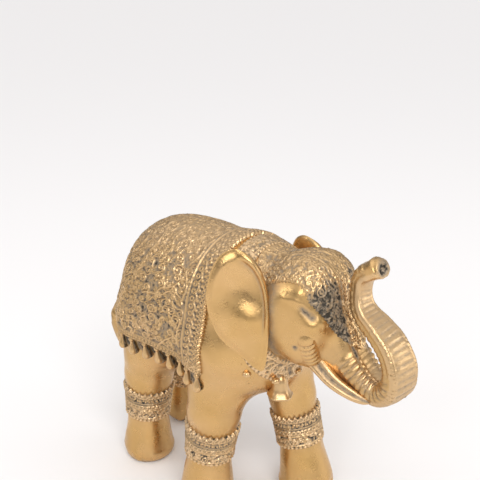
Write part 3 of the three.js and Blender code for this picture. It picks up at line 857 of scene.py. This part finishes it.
def trunk_wrinkles(d, along, u, v):
    """Rise of the skin along the trunk, and where dark paint stays."""
    on = (d < 3) * step_up(along, *WRINKLES_START) * (1 - step_up(along, *WRINKLES_END))
    side = np.abs(u)
    front = step_up(v, 0.0, 0.25)
    slanting, level = lobes(along + 1.4 * v, FLANK_PITCH), lobes(along, RUNG_PITCH)
    lateral = step_up(side, 0.5, 0.65) * step_up(v, -0.45, -0.05)
    lateral = lateral * (1 - step_up(along, *FLANK_END)) * step_up(along, *FLANK_START)
    dorsal = lobes(along, DORSAL_PITCH) * (1 - step_up(side, 0.4, 0.55)) * front
    dorsal = dorsal * step_up(along, *DORSAL_START)
    flank = slanting * lateral
    beads = level * arch(side, 0.75, 0.3) * front * step_up(along, *FLANK_END)
    rungs = (1 - level**2) * (1 - step_up(side, 0.62, 0.75)) * (v < -0.3)
    rungs = rungs * step_up(along, *RUNGS_START) * (1 - step_up(along, *RUNGS_END))
    rim = arch(side, 0.9, 0.16) * (v < -0.2) * step_up(along, *RIM_START)
    seam = arch(side, 0.52, 0.1) * front * (1 - step_up(along, *SEAM_END))
    lift = on * (0.5 * dorsal + 1.35 * flank + 0.7 * beads - 0.3 * rungs + 0.5 * rim - 0.15 * seam)
    groove = (1 - slanting) ** 1.5 * lateral
    dark_seam = seam * (1 - step_up(along, *DARK_SEAM_END))
    return lift, on * clamp(0.85 * groove + 0.4 * rungs + 0.9 * dark_seam + 0.14)


NOSTRIL_WAY = np.array((0.85, -0.42, 0.12)) / np.linalg.norm((0.85, -0.42, 0.12))
NOSTRIL_DEPTH, NOSTRIL_RADIUS, NOSTRIL_LIP = 3.2, 3.1, 3.9


def nostril(h):
    """The hollow in the end of the trunk with its lip, and the painted shade in it."""
    q = h - np.array(TRUNK[-1][:3], float)
    out = q @ NOSTRIL_WAY
    r = np.linalg.norm(q - out[:, None] * NOSTRIL_WAY, axis=1)
    lift = 0.7 * hump(r - NOSTRIL_LIP, 0.8) - NOSTRIL_DEPTH * arch(r, 0, NOSTRIL_RADIUS)
    return lift * (out > 0), 1.2 * clamp(2 - r / 2.2) * (out > 0)


# Features of the face in the head's frame: the right side's, the left side's are their mirror image
EYE_ENDS = [(75.2, -21.5, 133.3), (79.6, -19.8, 129.9)]
BROW = [(66.4, -22.9, 137.1), (70.4, -22.3, 137.2), (74.9, -21.1, 135.9)]
BROW += [(78.6, -20, 132.2), (83.9, -16, 125.9)]
CHEEK_PIT = (71.9, -22, 113.2)
CHEEK_BONE = (80.5, -19.9, 125.4)
TEMPLE = (72.2, -20.9, 140.4)
MOUTH_FOLDS = [(77.2, -20.7, 116.9), (77.3, -14.2, 103.8)]
FOLDS_LONG, FOLD_PITCH = 13.4, 2.65
EAR_GAP = 58


def on_face(marks):
    return settled(face_in_head, np.array(marks, F).reshape(-1, 3), 8)[0]


def line_gap(h, a, b):
    a, b = np.array(a, float), np.array(b, float)
    run = b - a
    t = clamp((h - a) @ run / (run @ run))
    return np.linalg.norm(h - a - t[:, None] * run, axis=1), t


def face_features(h):
    """Eye under its brow, cheek bone and temple, the pit in the cheek and the folds beside the mouth."""
    q = np.stack([h[:, 0], -np.abs(h[:, 1]), h[:, 2]], 1)
    eye, _ = line_gap(q, *on_face(EYE_ENDS))
    marks = on_face(BROW)
    brow = np.minimum.reduce([line_gap(q, a, b)[0] for a, b in zip(marks, marks[1:])])
    spots = (CHEEK_PIT, CHEEK_BONE, TEMPLE)
    pit, bone, temple = (np.linalg.norm(q - on_face(spot), axis=1) for spot in spots)
    folded, down = line_gap(q, *on_face(MOUTH_FOLDS))
    pad = arch(folded, 0, 4.4)
    wrinkle = lobes(down * FOLDS_LONG + 1.32, FOLD_PITCH)
    lift = 0.5 * hump(brow, 1.7) - 0.75 * hump(eye, 1.7) + 0.2 * hump(eye, 0.6)
    lift = lift - 0.9 * hump(pit, 0.9) + 1.2 * hump(bone, 3.4)
    lift = lift + 0.8 * hump(temple, 4.5) + pad * (0.6 + 1.1 * wrinkle)
    # Painted shade in the eye, in the pit in the cheek and between the folds beside the mouth, and painted
    # shadow in the gap between the cheek and the ear
    wash_and_shade = 0.86 * hump(eye, 1.7) + 1.2 * hump(pit, 1.1) + 0.75 * pad * (1 - wrinkle) ** 2
    ear_gap = hump(h[:, 0] - EAR_GAP, 3.2) * (q[:, 1] < -13) * step_up(h[:, 2], 98, 106)
    return lift, wash_and_shade + 0.68 * ear_gap * (1 - step_up(h[:, 2], 140, 152))


def head():
    points, faces = surface_net(head_piece_distance, (CUT_X - 1, -30, CUT_Z - 1), (125, 30, 163), HEAD_STEP)
    points, normals = settled(head_piece_distance, points)
    h = into_head(points)
    place = trunk_place(h)
    lift, wash_and_shade = trunk_wrinkles(*place)
    hollow, painted_shade = nostril(h)
    fine, face_shade = face_features(h)
    points = points + normals * (lift + fine + hollow + uneven(points))[:, None]
    along, v = place[1], place[3]
    # Painted highlight on the trunk from 40 mm along it, and past 60 mm on its flat under face, which faces
    # forward where the trunk rises
    brightened = step_up(along, 40, 56) * np.where(along > 60, v < -0.35, np.abs(v) > 0.3)
    return make("elephant_head", points, faces, wash_and_shade + face_shade + painted_shade, 0.45 * brightened)


def tube(rows, sides, steps, shape=lambda turn, share: 1.0):
    """Round bar along a smooth path of x, y, z, radius, rounded at its far end."""
    path = smooth_path(rows, steps)
    centres, radii = path[:, :3], path[:, 3]
    run = np.gradient(centres, axis=0)
    run /= np.linalg.norm(run, axis=1)[:, None]
    across = np.cross(run, [0, 0, 1.0001])
    across[np.linalg.norm(across, axis=1) < 0.1] = (0, 1, 0)
    across /= np.linalg.norm(across, axis=1)[:, None]
    above = np.cross(across, run)
    turns = np.arange(sides) / sides * 2 * np.pi
    share = np.linspace(0, 1, len(path))
    ease = np.sqrt(clamp(1 - (1 - clamp((1 - share) * 9)) ** 2))
    radii = radii * np.maximum(ease, 0.02)
    grid = np.array([[shape(turn, s) for turn in turns] for s in share]) * radii[:, None]
    points = centres[:, None] + grid[..., None] * (
        np.cos(turns)[None, :, None] * across[:, None] + np.sin(turns)[None, :, None] * above[:, None]
    )
    return points.reshape(-1, 3), ring_faces(len(path), sides)


TUSK_SIDES = 36
TUSK_HOLLOW = 0.62  # turn of the hollow in the tusk's outer side, in radians
TUFT_START = 0.72  # share of the tail's length


def turn_from(turn, middle):
    """Angle from a middle direction, within half a turn."""
    return (turn - middle + math.pi) % (2 * math.pi) - math.pi


def tusks():
    """Each tusk is a blade with a hollow between an upper and a lower ridge on its outer side, with painted
    shade in the hollow and the rest painted lighter.
    """
    parts, painted_shade = [], []
    for side in (-1, 1):
        rows = [(x, y * side, z, r) for x, y, z, r in TUSK]
        outward = TUSK_HOLLOW if side < 0 else math.pi - TUSK_HOLLOW

        def section(turn, share):
            return 1.06 - 0.55 * hump(turn_from(turn, outward), 0.6) * min(1, 4 * (1 - share))

        points, faces = tube(rows, TUSK_SIDES, 24, section)
        parts.append((out_of_head(points), faces))
        turns = np.arange(len(points)) % TUSK_SIDES / TUSK_SIDES * 2 * np.pi
        painted_shade.append(0.76 * np.exp(-((turn_from(turns, outward) / 0.5) ** 4)))
    points, faces = joined(parts)
    painted_shade = np.concatenate(painted_shade)
    return make("tusks", points, faces, painted_shade, 0.5 * (1 - painted_shade))


def tail():
    """A faintly ringed tail that ends in a tuft of hair."""

    def section(turn, share):
        if share > TUFT_START:
            return 1 + 0.07 * math.sin(9 * turn)
        return 1 + 0.03 * math.sin(70 * share)

    points, faces = tube(TAIL, 32, 16, section)
    return make("tail", points, faces, np.full(len(points), 0.1), np.zeros(len(points)))


def ear(name):
    """A dished plate with a rolled rim in front and soft folds towards its edge."""
    side, root, swing, lean = EARS[name]
    outline = smooth_path([*EAR_OUTLINE, EAR_OUTLINE[0]], 12)[:-1]
    middle = outline.mean(0)
    profile = [(0.001, -1), (0.5, -1), (0.85, -1), (0.95, -0.75), (1, -0.25), (1, 0.4), (0.975, 1.0)]
    profile += [(0.93, 1.35), (0.875, 1.2), (0.83, 0.5), (0.77, 0.3), (0.7, 0.45), (0.6, 0.55), (0.45, 0.55)]
    profile += [(0.3, 0.55), (0.15, 0.55), (0.001, 0.55)]
    shares = np.array(smooth_path(profile, 4))
    at = middle + (outline - middle)[None] * shares[:, :1, None]
    back, up = at[..., 0], at[..., 1]
    rolled = step_up(22 - outline[:, 0], 2, 12) * step_up(outline[:, 1], -16, 0)
    level = shares[:, 1][:, None] * np.ones(len(outline))
    plain = 0.55 - 0.75 * step_up(shares[:, :1], 0.8, 1)
    level = np.where((level > -0.2) & (shares[:, :1] > 0.62), plain + (level - plain) * rolled, level)
    fold = 0.3 * np.sin(up / 4.2 + back / 9) * step_up(back, 14, 26)
    fold = fold + 2.4 * hump(up + 2, 7) * hump(back - 9, 8) - 1.5 * hump(up - 14, 8) * hump(back - 14, 8)
    out = EAR_DISH * (back - EAR_MIDDLE) ** 2 - 1 + level * EAR_THICK / 2 + fold * (level > 0)
    x = -back * math.cos(swing) + out * math.sin(swing)
    y = -back * math.sin(swing) - out * math.cos(swing)
    inwards = y * math.cos(lean) + up * math.sin(lean) - root[1]
    upwards = up * math.cos(lean) - y * math.sin(lean) + root[2]
    points = out_of_head(np.stack([x + root[0], -side * inwards, upwards], -1).reshape(-1, 3))
    faces = ring_faces(*at.shape[:2])
    if side > 0:
        faces = faces[:, ::-1]
    # Painted shade in the groove inside the rolled rim
    groove = hump(shares[:, 0] - 0.8, 0.04) * (shares[:, 1] > 0)
    wash_and_shade = (0.4 * groove[:, None] * rolled[None, :]).ravel()
    return make(f"ear_{name}", points, faces, wash_and_shade, np.zeros(len(points)))


def cloth_along(x, y):
    """How far along the saddle cloth a point of the skin at its hem is."""
    bend = np.arctan2(np.maximum(RUMP_START - x, 0), np.abs(y))
    return np.where(x > RUMP_START, x, RUMP_START - bend * RUMP_RADIUS)


def cloth_rays(along, around):
    bend = np.maximum(RUMP_START - along, 0) / RUMP_RADIUS
    starts = np.stack([np.maximum(along, RUMP_START), 0 * along, 0 * along + CLOTH_HEM], 1)
    directions = [-np.sin(bend), np.cos(bend) * np.cos(around), np.cos(bend) * np.sin(around)]
    return starts, np.stack(directions, 1)


# The flat map that each half of the cloth is drawn on, and the bands and pitches of its borders
CLOTH_WIDE, CLOTH_TALL = 90, 92
BORDER, REAR_BAND, HEM_BAND = 12.5, 7, 5.2
RING_PITCH, LACE_PITCH, BAR_PITCH, BEAD_PITCH = 4, 2.6, 2.7, 2.2


def cloth_field(relief, seed):
    """Long vines in three rows of five, and lower scrollwork between them."""
    draw = np.random.default_rng(seed + 7)
    for n in range(15):
        start = (BORDER + 4 + (n % 5) * 14 + draw.uniform(-3, 3), 10 + (n // 5) * 26 + draw.uniform(-4, 4))
        vine(relief, start, draw.uniform(0.3, 2.6), draw.uniform(20, 32), 3.3, 0.58, draw)
    filigree(relief, 14, relief.wide - 8, 6, relief.tall, seed, pitch=7.5, big=2.6, fine=0.45, low=0.5)
    relief.clear(relief.x < BORDER)
    relief.clear(relief.x > relief.wide - REAR_BAND)
    relief.clear(relief.y < HEM_BAND)


def front_border(relief):
    """A plain strip with small rings, then beaded lace out to the edge."""
    relief.upright(BORDER + 0.2, 0.55, 0.9)
    for n in range(int(relief.tall / RING_PITCH)):
        relief.ring(9.4, 3 + n * RING_PITCH, 1.15, 0.45, 0.8)
    heights = np.arange(0, relief.tall, 0.6)
    relief.stroke([(6.9 + 0.7 * math.cos(t * 2 * math.pi / (2 * LACE_PITCH)), t) for t in heights], 0.45)
    for n in range(int(relief.tall / LACE_PITCH)):
        relief.dot(5.0 + 0.5 * (-1) ** n, 1.3 + n * LACE_PITCH, 0.95)
        relief.ring(2.6, 1.3 + n * LACE_PITCH, 0.95, 0.4, 0.9)
    relief.upright(0.7, 0.5, 0.8)


def rear_border(relief):
    """Two rows of upright bars."""
    for n in range(int(relief.tall / BAR_PITCH)):
        for inset, foot in ((5.4, 0.6), (2.6, 1.9)):
            low = foot + n * BAR_PITCH
            relief.stroke([(relief.wide - inset, low), (relief.wide - inset, low + 1.6)], 0.75, 0.9)
    relief.upright(relief.wide - 0.7, 0.5, 0.8)


def hem_border(relief):
    """Beads between two cords."""
    relief.level(5.0, 0.45, 0.8)
    for n in range(int(relief.wide / BEAD_PITCH)):
        relief.dot(1.1 + n * BEAD_PITCH, 3.3, 0.95)
        relief.ring(1.1 + n * BEAD_PITCH, 1.3, 0.75, 0.4, 0.9)


def cloth(name, foot, crest, seed):
    """Half of the saddle cloth, from the hem up to the cord along the back."""
    relief = Relief(CLOTH_WIDE, CLOTH_TALL, CARVED_STEP)
    cloth_field(relief, seed)
    front_border(relief)
    rear_border(relief)
    hem_border(relief)
    relief.level(relief.tall - 0.7, 0.9)
    x, y = relief.x, relief.y
    mottle = 0.14 * (waves(x, y, seed + 1, 2.6) + 0.6 * waves(x, y, seed + 2, 1.3))
    raised = relief.height.copy()
    points, normals = laid(relief, body_distance, cloth_rays, (CLOTH_FRONT, CLOTH_REAR), (foot, crest))
    top = step_up(normals[:, 2].reshape(raised.shape), 0.55, 0.95)
    relief.height = np.clip(raised + mottle * (1 - 0.5 * raised), -0.2, 1.2) * (1 - 0.45 * top)
    patchy = 0.9 + 0.12 * waves(x, y, seed + 3, 26) + 0.16 * waves(x, y, seed + 4, 4)
    # Dark wash in the carving and wear on its raised tops; where the cloth faces up, less wash and more of
    # the worn colour are a painted highlight on its top
    wash_and_shade = clamp(1.0 - 1.5 * raised) * np.clip(0.92 * patchy, 0.45, 0.88) * (1 - 0.5 * top)
    wash_and_shade = np.maximum(wash_and_shade, 0.8 * hump(x - BORDER - 0.9, 0.5))
    rub_and_highlight = worn_top(raised) * 0.5 + 0.25 * top
    scalloped = x > 0.75 * np.abs(np.sin(np.pi * y / LACE_PITCH))
    keep = scalloped & (y > 0.7 * np.abs(np.sin(np.pi * x / BEAD_PITCH)))
    return layer(name, relief, points, normals, CLOTH_THICK, RELIEF, wash_and_shade, rub_and_highlight, keep)


# Cap: embroidery over the forehead and crown, which runs down the middle of the face to a point
CAP_MIDDLE = (62, 0, 120)
# Degrees up from straight ahead, and half its width in degrees there
CAP_EDGE = [(-15, 3), (-11, 12), (-3, 21), (10, 30), (33, 39), (46, 42), (67, 38), (90, 41), (112, 44)]
CAP_EDGE += [(126, 44)]
CAP_WIDE, CAP_TALL = 48, 66
STRIP_HALF, STRIP_PITCH = 4.3, 3


def cap_rays(across, up):
    starts = np.broadcast_to(np.array(CAP_MIDDLE, F), (len(across), 3))
    directions = np.stack([np.cos(up) * np.cos(across), np.sin(across), np.sin(up) * np.cos(across)], 1)
    return starts, directions


def face_in_head(h):
    return face_distance(out_of_head(h).astype(F))


def cap():
    low, high, wide = math.radians(CAP_EDGE[0][0]), math.radians(CAP_EDGE[-1][0]), math.radians(45)
    relief = Relief(CAP_WIDE, CAP_TALL, CARVED_STEP)
    filigree(relief, 0, CAP_WIDE, 0, CAP_TALL, 21, pitch=4.6, big=2.3, fine=0.42)
    x, y, centre = relief.x, relief.y, CAP_WIDE / 2
    for n in range(int(CAP_TALL / STRIP_PITCH)):
        relief.ring(centre, 1.5 + n * STRIP_PITCH, 1.1, 0.5)
        relief.dot(centre + 2.6 * (-1) ** n, 1.5 + n * STRIP_PITCH, 0.8)
    relief.upright(centre - STRIP_HALF, 0.5)
    relief.upright(centre + STRIP_HALF, 0.5)
    points, normals = laid(relief, face_in_head, cap_rays, (-wide, wide), (low, high))
    q = points - np.array(CAP_MIDDLE, F)
    across = np.degrees(np.arcsin(np.abs(q[:, 1]) / np.linalg.norm(q, axis=1))).reshape(relief.height.shape)
    up = np.degrees(np.arctan2(q[:, 2], q[:, 0])).reshape(across.shape)
    half = np.interp(up, *np.array(CAP_EDGE, float).T)
    margin = (half - across) * 0.42
    sooty = step_up(np.abs(x - centre), 4.8, 6.5) * step_up(up, -12, -4) * (1 - step_up(up, 42, 58))
    beads = 0.6 * lobes(y, 1.9) * arch(margin, 1.0, 0.9) * (1 - 0.8 * sooty)
    raised = np.maximum(np.where(margin < 1.2, 0.4 * relief.height, relief.height), beads)
    relief.height = np.clip(raised + 0.12 * waves(x, y, 23, 1.6), -0.2, 1.2)
    wash_and_shade = clamp(0.95 - 1.4 * raised) * (0.7 + 0.3 * sooty) + 1.5 * sooty * (1 - 0.45 * raised)
    rub_and_highlight = clamp(1.3 * raised - 0.3) * (1 - 0.8 * sooty) * 0.45
    skin = out_of_head(points)
    outward = out_of_head(points + normals) - skin
    keep = margin > 0.6 * np.abs(np.sin(1.6 * y))
    return layer("forehead_cap", relief, skin, outward, 0.3, 0.75, wash_and_shade, rub_and_highlight, keep)


ANKLET_BEADS, ANKLET_TEETH = 34, 26


def anklet(name, leg, seed):
    """A carved band over the ankle, with a toothed upper edge."""
    knee, ankle = np.array(leg[1][:3], float), np.array(leg[2][:3], float)
    axis = (knee - ankle) / np.linalg.norm(knee - ankle)
    across = np.cross([0, 1, 0], axis)
    across /= np.linalg.norm(across)
    other = np.cross(axis, across)

    def rays(turn, up):
        starts = ankle + axis * up[:, None]
        return starts.astype(F), (across * np.cos(turn)[:, None] + other * np.sin(turn)[:, None]).astype(F)

    relief = Relief(ANKLET_ROUND, ANKLET_HEIGHT, ANKLET_STEP, wraps=True)
    draw = np.random.default_rng(seed)
    filigree(relief, 0, ANKLET_ROUND, 3.2, 7.4, seed, pitch=4.2, big=1.9, fine=0.45)
    for n in range(ANKLET_BEADS):
        at = (n + 0.5) * ANKLET_ROUND / ANKLET_BEADS
        between = at + ANKLET_ROUND / ANKLET_BEADS / 2
        relief.dot(at, 1.1, draw.uniform(0.95, 1.15))
        relief.ring(at, 10.3, 1.05, 0.42, draw.uniform(0.75, 1))
        relief.dot(at, 10.3, 0.45, 0.9)
        relief.dot(between, 9.0, 0.4, 0.8)
        relief.leaf(at, 13.4, math.pi / 2 + draw.uniform(-0.5, 0.5), 3.0, 0.8)
        relief.dot(between, 14.0 + draw.uniform(0, 1.6), 0.55, 0.9)
    for height in (2.5, 8.1, 12.6, 16.7):
        relief.level(height, 0.4, 0.8)
    for n in range(ANKLET_TEETH):
        at = (n + 0.5) * ANKLET_ROUND / ANKLET_TEETH
        relief.ring(at, 18.2, 1.1, 0.45)
        relief.dot(at, 18.2, 0.5, 0.9)
        relief.dot(at, 20.0, 0.7)
    x, y = relief.x, relief.y
    tooth = np.abs((x * ANKLET_TEETH / ANKLET_ROUND) % 1 - 0.5) * 2
    raised = relief.height.copy()
    relief.height = np.clip(raised + 0.14 * waves(x, y, seed, 1.7), -0.2, 1.2)
    points, normals = laid(relief, skin_distance, rays, (0, 2 * math.pi), (0, ANKLET_HEIGHT))
    wash_and_shade = clamp(1.0 - 1.5 * raised) * np.clip(0.95 + 0.25 * waves(x, y, seed + 9, 9), 0.6, 1)
    keep = y < ANKLET_HEIGHT - 0.1 - 1.8 * tooth
    return layer(name, relief, points, normals, 0.5, 1.15, wash_and_shade, worn_top(raised), keep)


# Necklace: a carved band in a slanting ring, high on the neck and low on the chest, with a bell
NECKLACE_LOW, NECKLACE_HIGH, NECKLACE_HALF = (57, 0, 90.5), (36, 0, 152), 5.5
NECKLACE_BEADS = 84
BELL_FOOT = (54.5, -6, 74.2)


def necklace():
    low, high = np.array(NECKLACE_LOW, float), np.array(NECKLACE_HIGH, float)
    rise = (high - low) / np.linalg.norm(high - low)
    normal = np.cross([0, 1, 0], rise)

    def rays(turn, along):
        starts = (low + high) / 2 + normal * along[:, None]
        directions = np.array([0, 1, 0]) * np.cos(turn)[:, None] + rise * np.sin(turn)[:, None]
        return starts.astype(F), directions.astype(F)

    long, tall = NECKLACE_ROUND, 2 * NECKLACE_HALF
    relief = Relief(long, tall, NECKLACE_STEP, wraps=True)
    filigree(relief, 0, long, 2, tall - 2, 31, pitch=4.5, big=2.1, fine=0.45)
    for n in range(NECKLACE_BEADS):
        at = (n + 0.5) * long / NECKLACE_BEADS
        relief.dot(at, 1.0, 0.95)
        relief.dot(at, tall - 1.0, 0.85)
    for height in (2.2, tall - 2.2):
        relief.level(height, 0.45, 0.8)
    raised = relief.height
    points, normals = laid(relief, skin_distance, rays, (0, 2 * math.pi), (-NECKLACE_HALF, NECKLACE_HALF))
    wash_and_shade = clamp(0.8 - 1.2 * raised)
    return layer("necklace", relief, points, normals, 0.6, 0.9, wash_and_shade, worn_top(raised))


def lathe(profile, place, sides, shape):
    """Rings of a radius at a height above a place; shape(turn, height) scales the radius."""
    profile = smooth_path(profile, 3)
    turns = np.arange(sides) / sides * 2 * np.pi
    grid = profile[:, :1] * shape(turns[None, :], profile[:, 1:2])
    heights = np.broadcast_to(profile[:, 1:2], grid.shape)
    points = np.stack([grid * np.cos(turns), grid * np.sin(turns), heights], -1) + np.array(place)
    return points.reshape(-1, 3), ring_faces(*grid.shape)


BELL_PROFILE = [(0.001, 0.1), (0.6, 0.08), (0.86, 0), (1.02, 0.02), (1.06, 0.08), (0.92, 0.16), (0.74, 0.32)]
BELL_PROFILE += [(0.66, 0.5), (0.6, 0.68), (0.48, 0.84), (0.3, 0.95), (0.15, 1.0), (0.001, 1.0)]
ROSETTE_PROFILE = [(2, 0.0), (2, 1.2), (1.3, 2.2), (0.02, 2.4)]
ROSETTES = [(48.6, -24.2, 90.6), (48.6, 24.2, 90.6), (57.3, -12.5, 85.6), (57.0, 4.5, 84.5)]


def bell():
    """The bell with its lobed mouth, and the rosettes along the necklace."""

    def lobed(turn, z):
        return 1 + 0.06 * np.cos(5 * turn + 0.6) * clamp(1 - 2.5 * z / BELL_HEIGHT)

    def petals(turn, z):
        return 1 + 0.14 * np.cos(6 * turn)

    profile = [(r * BELL_RADIUS, z * BELL_HEIGHT) for r, z in BELL_PROFILE]
    parts = [lathe(profile, BELL_FOOT, 64, lobed)]
    parts += [lathe(ROSETTE_PROFILE, place, 20, petals) for place in ROSETTES]
    points, faces = joined(parts)
    even = np.ones(len(points))
    return make("bell_and_rosettes", points, faces, 0.1 * even, 0.35 * even)


# Radius and depth of a tassel, as shares: a small bead, then a drop that lies on the skin
TASSEL_PROFILE = [(0.3, -0.05), (0.62, 0.08), (0.68, 0.16), (0.36, 0.26), (0.5, 0.4)]
TASSEL_PROFILE += [(0.95, 0.68), (1, 0.82), (0.7, 0.96), (0.05, 1)]
TASSEL_SIDES = 16
TASSEL_TURNS = np.arange(TASSEL_SIDES) / TASSEL_SIDES * 2 * np.pi


def tassel(along, around):
    profile = smooth_path(TASSEL_PROFILE, 3)
    count = len(profile)
    starts, directions = cloth_rays(np.full(count, float(along)), np.full(count, around))
    starts[:, 2] = CLOTH_HEM - profile[:, 1] * HEM_DROP
    skin = dropped(body_distance, starts.astype(F), directions.astype(F))
    way = directions[0]
    behind = np.maximum((skin[0] - skin) @ way, 0) * 0.7
    centres = skin + way * (behind + 1.0)[:, None]
    spread = TASSEL_RADIUS * profile[:, :1]
    front = np.cos(TASSEL_TURNS)[None, :]
    outward = front * np.where(front > 0, 0.85 * spread, (behind + 1.5)[:, None])
    across = np.sin(TASSEL_TURNS)[None, :] * spread
    points = centres[:, None] + outward[..., None] * way + across[..., None] * np.cross([0, 0, 1], way)
    return points.reshape(-1, 3), turned_over(ring_faces(count, TASSEL_SIDES))


def fringe():
    """Tassels under the hem on both sides, with painted shade on their backs."""
    count = int((CLOTH_FRONT - CLOTH_REAR - TASSEL_INSET) / TASSEL_PITCH) + 1
    places = [CLOTH_FRONT - TASSEL_INSET - n * TASSEL_PITCH for n in range(count)]
    points, faces = joined([tassel(along, around) for around in (0, math.pi) for along in places])
    painted_shade = np.tile(np.clip(-3.5 * np.cos(TASSEL_TURNS), 0.06, 1), len(points) // TASSEL_SIDES)
    return make("fringe_tassels", points, faces, painted_shade, 0.3 * (1 - painted_shade))


body()
head()
tusks()
tail()
for ear_name in EARS:
    ear(ear_name)
cloth("saddle_cloth_right", math.pi, math.pi / 2 - 0.02, 11)
cloth("saddle_cloth_left", 0, math.pi / 2, 12)
cap()
for number, (leg_name, leg_rows) in enumerate(LEGS.items()):
    anklet(f"anklet_{leg_name}", leg_rows, 41 + number)
necklace()
bell()
fringe()


# Stage: pale floor, soft light and the camera
def stage():
    bpy.ops.mesh.primitive_plane_add(size=60, location=(0, 0, -0.0002))
    floor = bpy.context.object
    floor.name = "floor"
    paint = bpy.data.materials.new("floor_paint")
    paint.use_nodes = True
    shader = paint.node_tree.nodes["Principled BSDF"]
    shader.inputs["Base Color"].default_value = (0.90, 0.885, 0.88, 1)
    shader.inputs["Roughness"].default_value = 0.6
    floor.data.materials.append(paint)


def light(name, place, target, size, power):
    data = bpy.data.lights.new(name, "AREA")
    data.shape = "RECTANGLE"
    data.size, data.size_y = size
    data.energy = power
    lamp = bpy.data.objects.new(name, data)
    bpy.context.scene.collection.objects.link(lamp)
    lamp.location = place
    lamp.rotation_euler = (Vector(target) - Vector(place)).to_track_quat("-Z", "Y").to_euler()


def studio():
    world = bpy.data.worlds.new("studio")
    bpy.context.scene.world = world
    world.use_nodes = True
    nodes, links = world.node_tree.nodes, world.node_tree.links
    back = nodes["Background"]
    place = nodes.new("ShaderNodeTexCoord")
    split = nodes.new("ShaderNodeSeparateXYZ")
    rise = nodes.new("ShaderNodeMapRange")
    links.new(place.outputs["Generated"], split.inputs["Vector"])
    links.new(split.outputs["Z"], rise.inputs["Value"])
    set_range(rise, 0.0, 0.7, 0.14, 0.86)
    links.new(rise.outputs["Result"], back.inputs["Strength"])
    back.inputs["Color"].default_value = (0.98, 0.97, 0.975, 1)
    middle = (0, 0, 0.08)
    sun = bpy.data.lights.new("key", "SUN")
    sun.energy = 1.45
    sun.angle = math.radians(34)
    lamp = bpy.data.objects.new("key", sun)
    bpy.context.scene.collection.objects.link(lamp)
    lamp.rotation_euler = Vector((0.75, -0.5, 0.72)).to_track_quat("Z", "Y").to_euler()
    light("side", (-0.5, -0.7, 0.45), middle, (0.2, 0.3), 0.6)
    light("front", (0.35, -0.75, 0.55), middle, (0.16, 0.16), 0.8)
    light("right", (0.75, 0.55, 0.3), middle, (0.5, 0.4), 1.5)
    light("top", (0.0, -0.1, 0.85), middle, (0.6, 0.6), 0.6)


CAMERA_AZIMUTH, CAMERA_ELEVATION = 45, 20
CAMERA_DISTANCE, SENSOR = 480, 36  # mm
PICTURE, CAMERA_FOCAL = 480, 864  # pixels
AIM_POINT, AIM_PIXEL = (0, 0, 75), (215, 355)


def camera():
    azimuth, elevation = math.radians(CAMERA_AZIMUTH), math.radians(CAMERA_ELEVATION)
    level = math.cos(elevation)
    back = Vector((math.sin(azimuth) * level, -math.cos(azimuth) * level, math.sin(elevation)))
    right = Vector((math.cos(azimuth), math.sin(azimuth), 0))
    up = back.cross(right)
    across = (AIM_PIXEL[0] - PICTURE / 2) / CAMERA_FOCAL
    above = (PICTURE / 2 - AIM_PIXEL[1]) / CAMERA_FOCAL
    ray = -back + across * right + above * up
    place = Vector(AIM_POINT) - ray * CAMERA_DISTANCE
    data = bpy.data.cameras.new("camera")
    data.sensor_width = SENSOR
    data.lens = SENSOR * CAMERA_FOCAL / PICTURE
    data.clip_start = 0.01
    eye = bpy.data.objects.new("camera", data)
    bpy.context.scene.collection.objects.link(eye)
    eye.matrix_world = Matrix((right, up, back)).transposed().to_4x4()
    eye.location = placed([place])[0]
    bpy.context.scene.camera = eye


stage()
studio()
camera()
bpy.context.scene.view_settings.view_transform = "Standard"

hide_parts("elephant_statue")
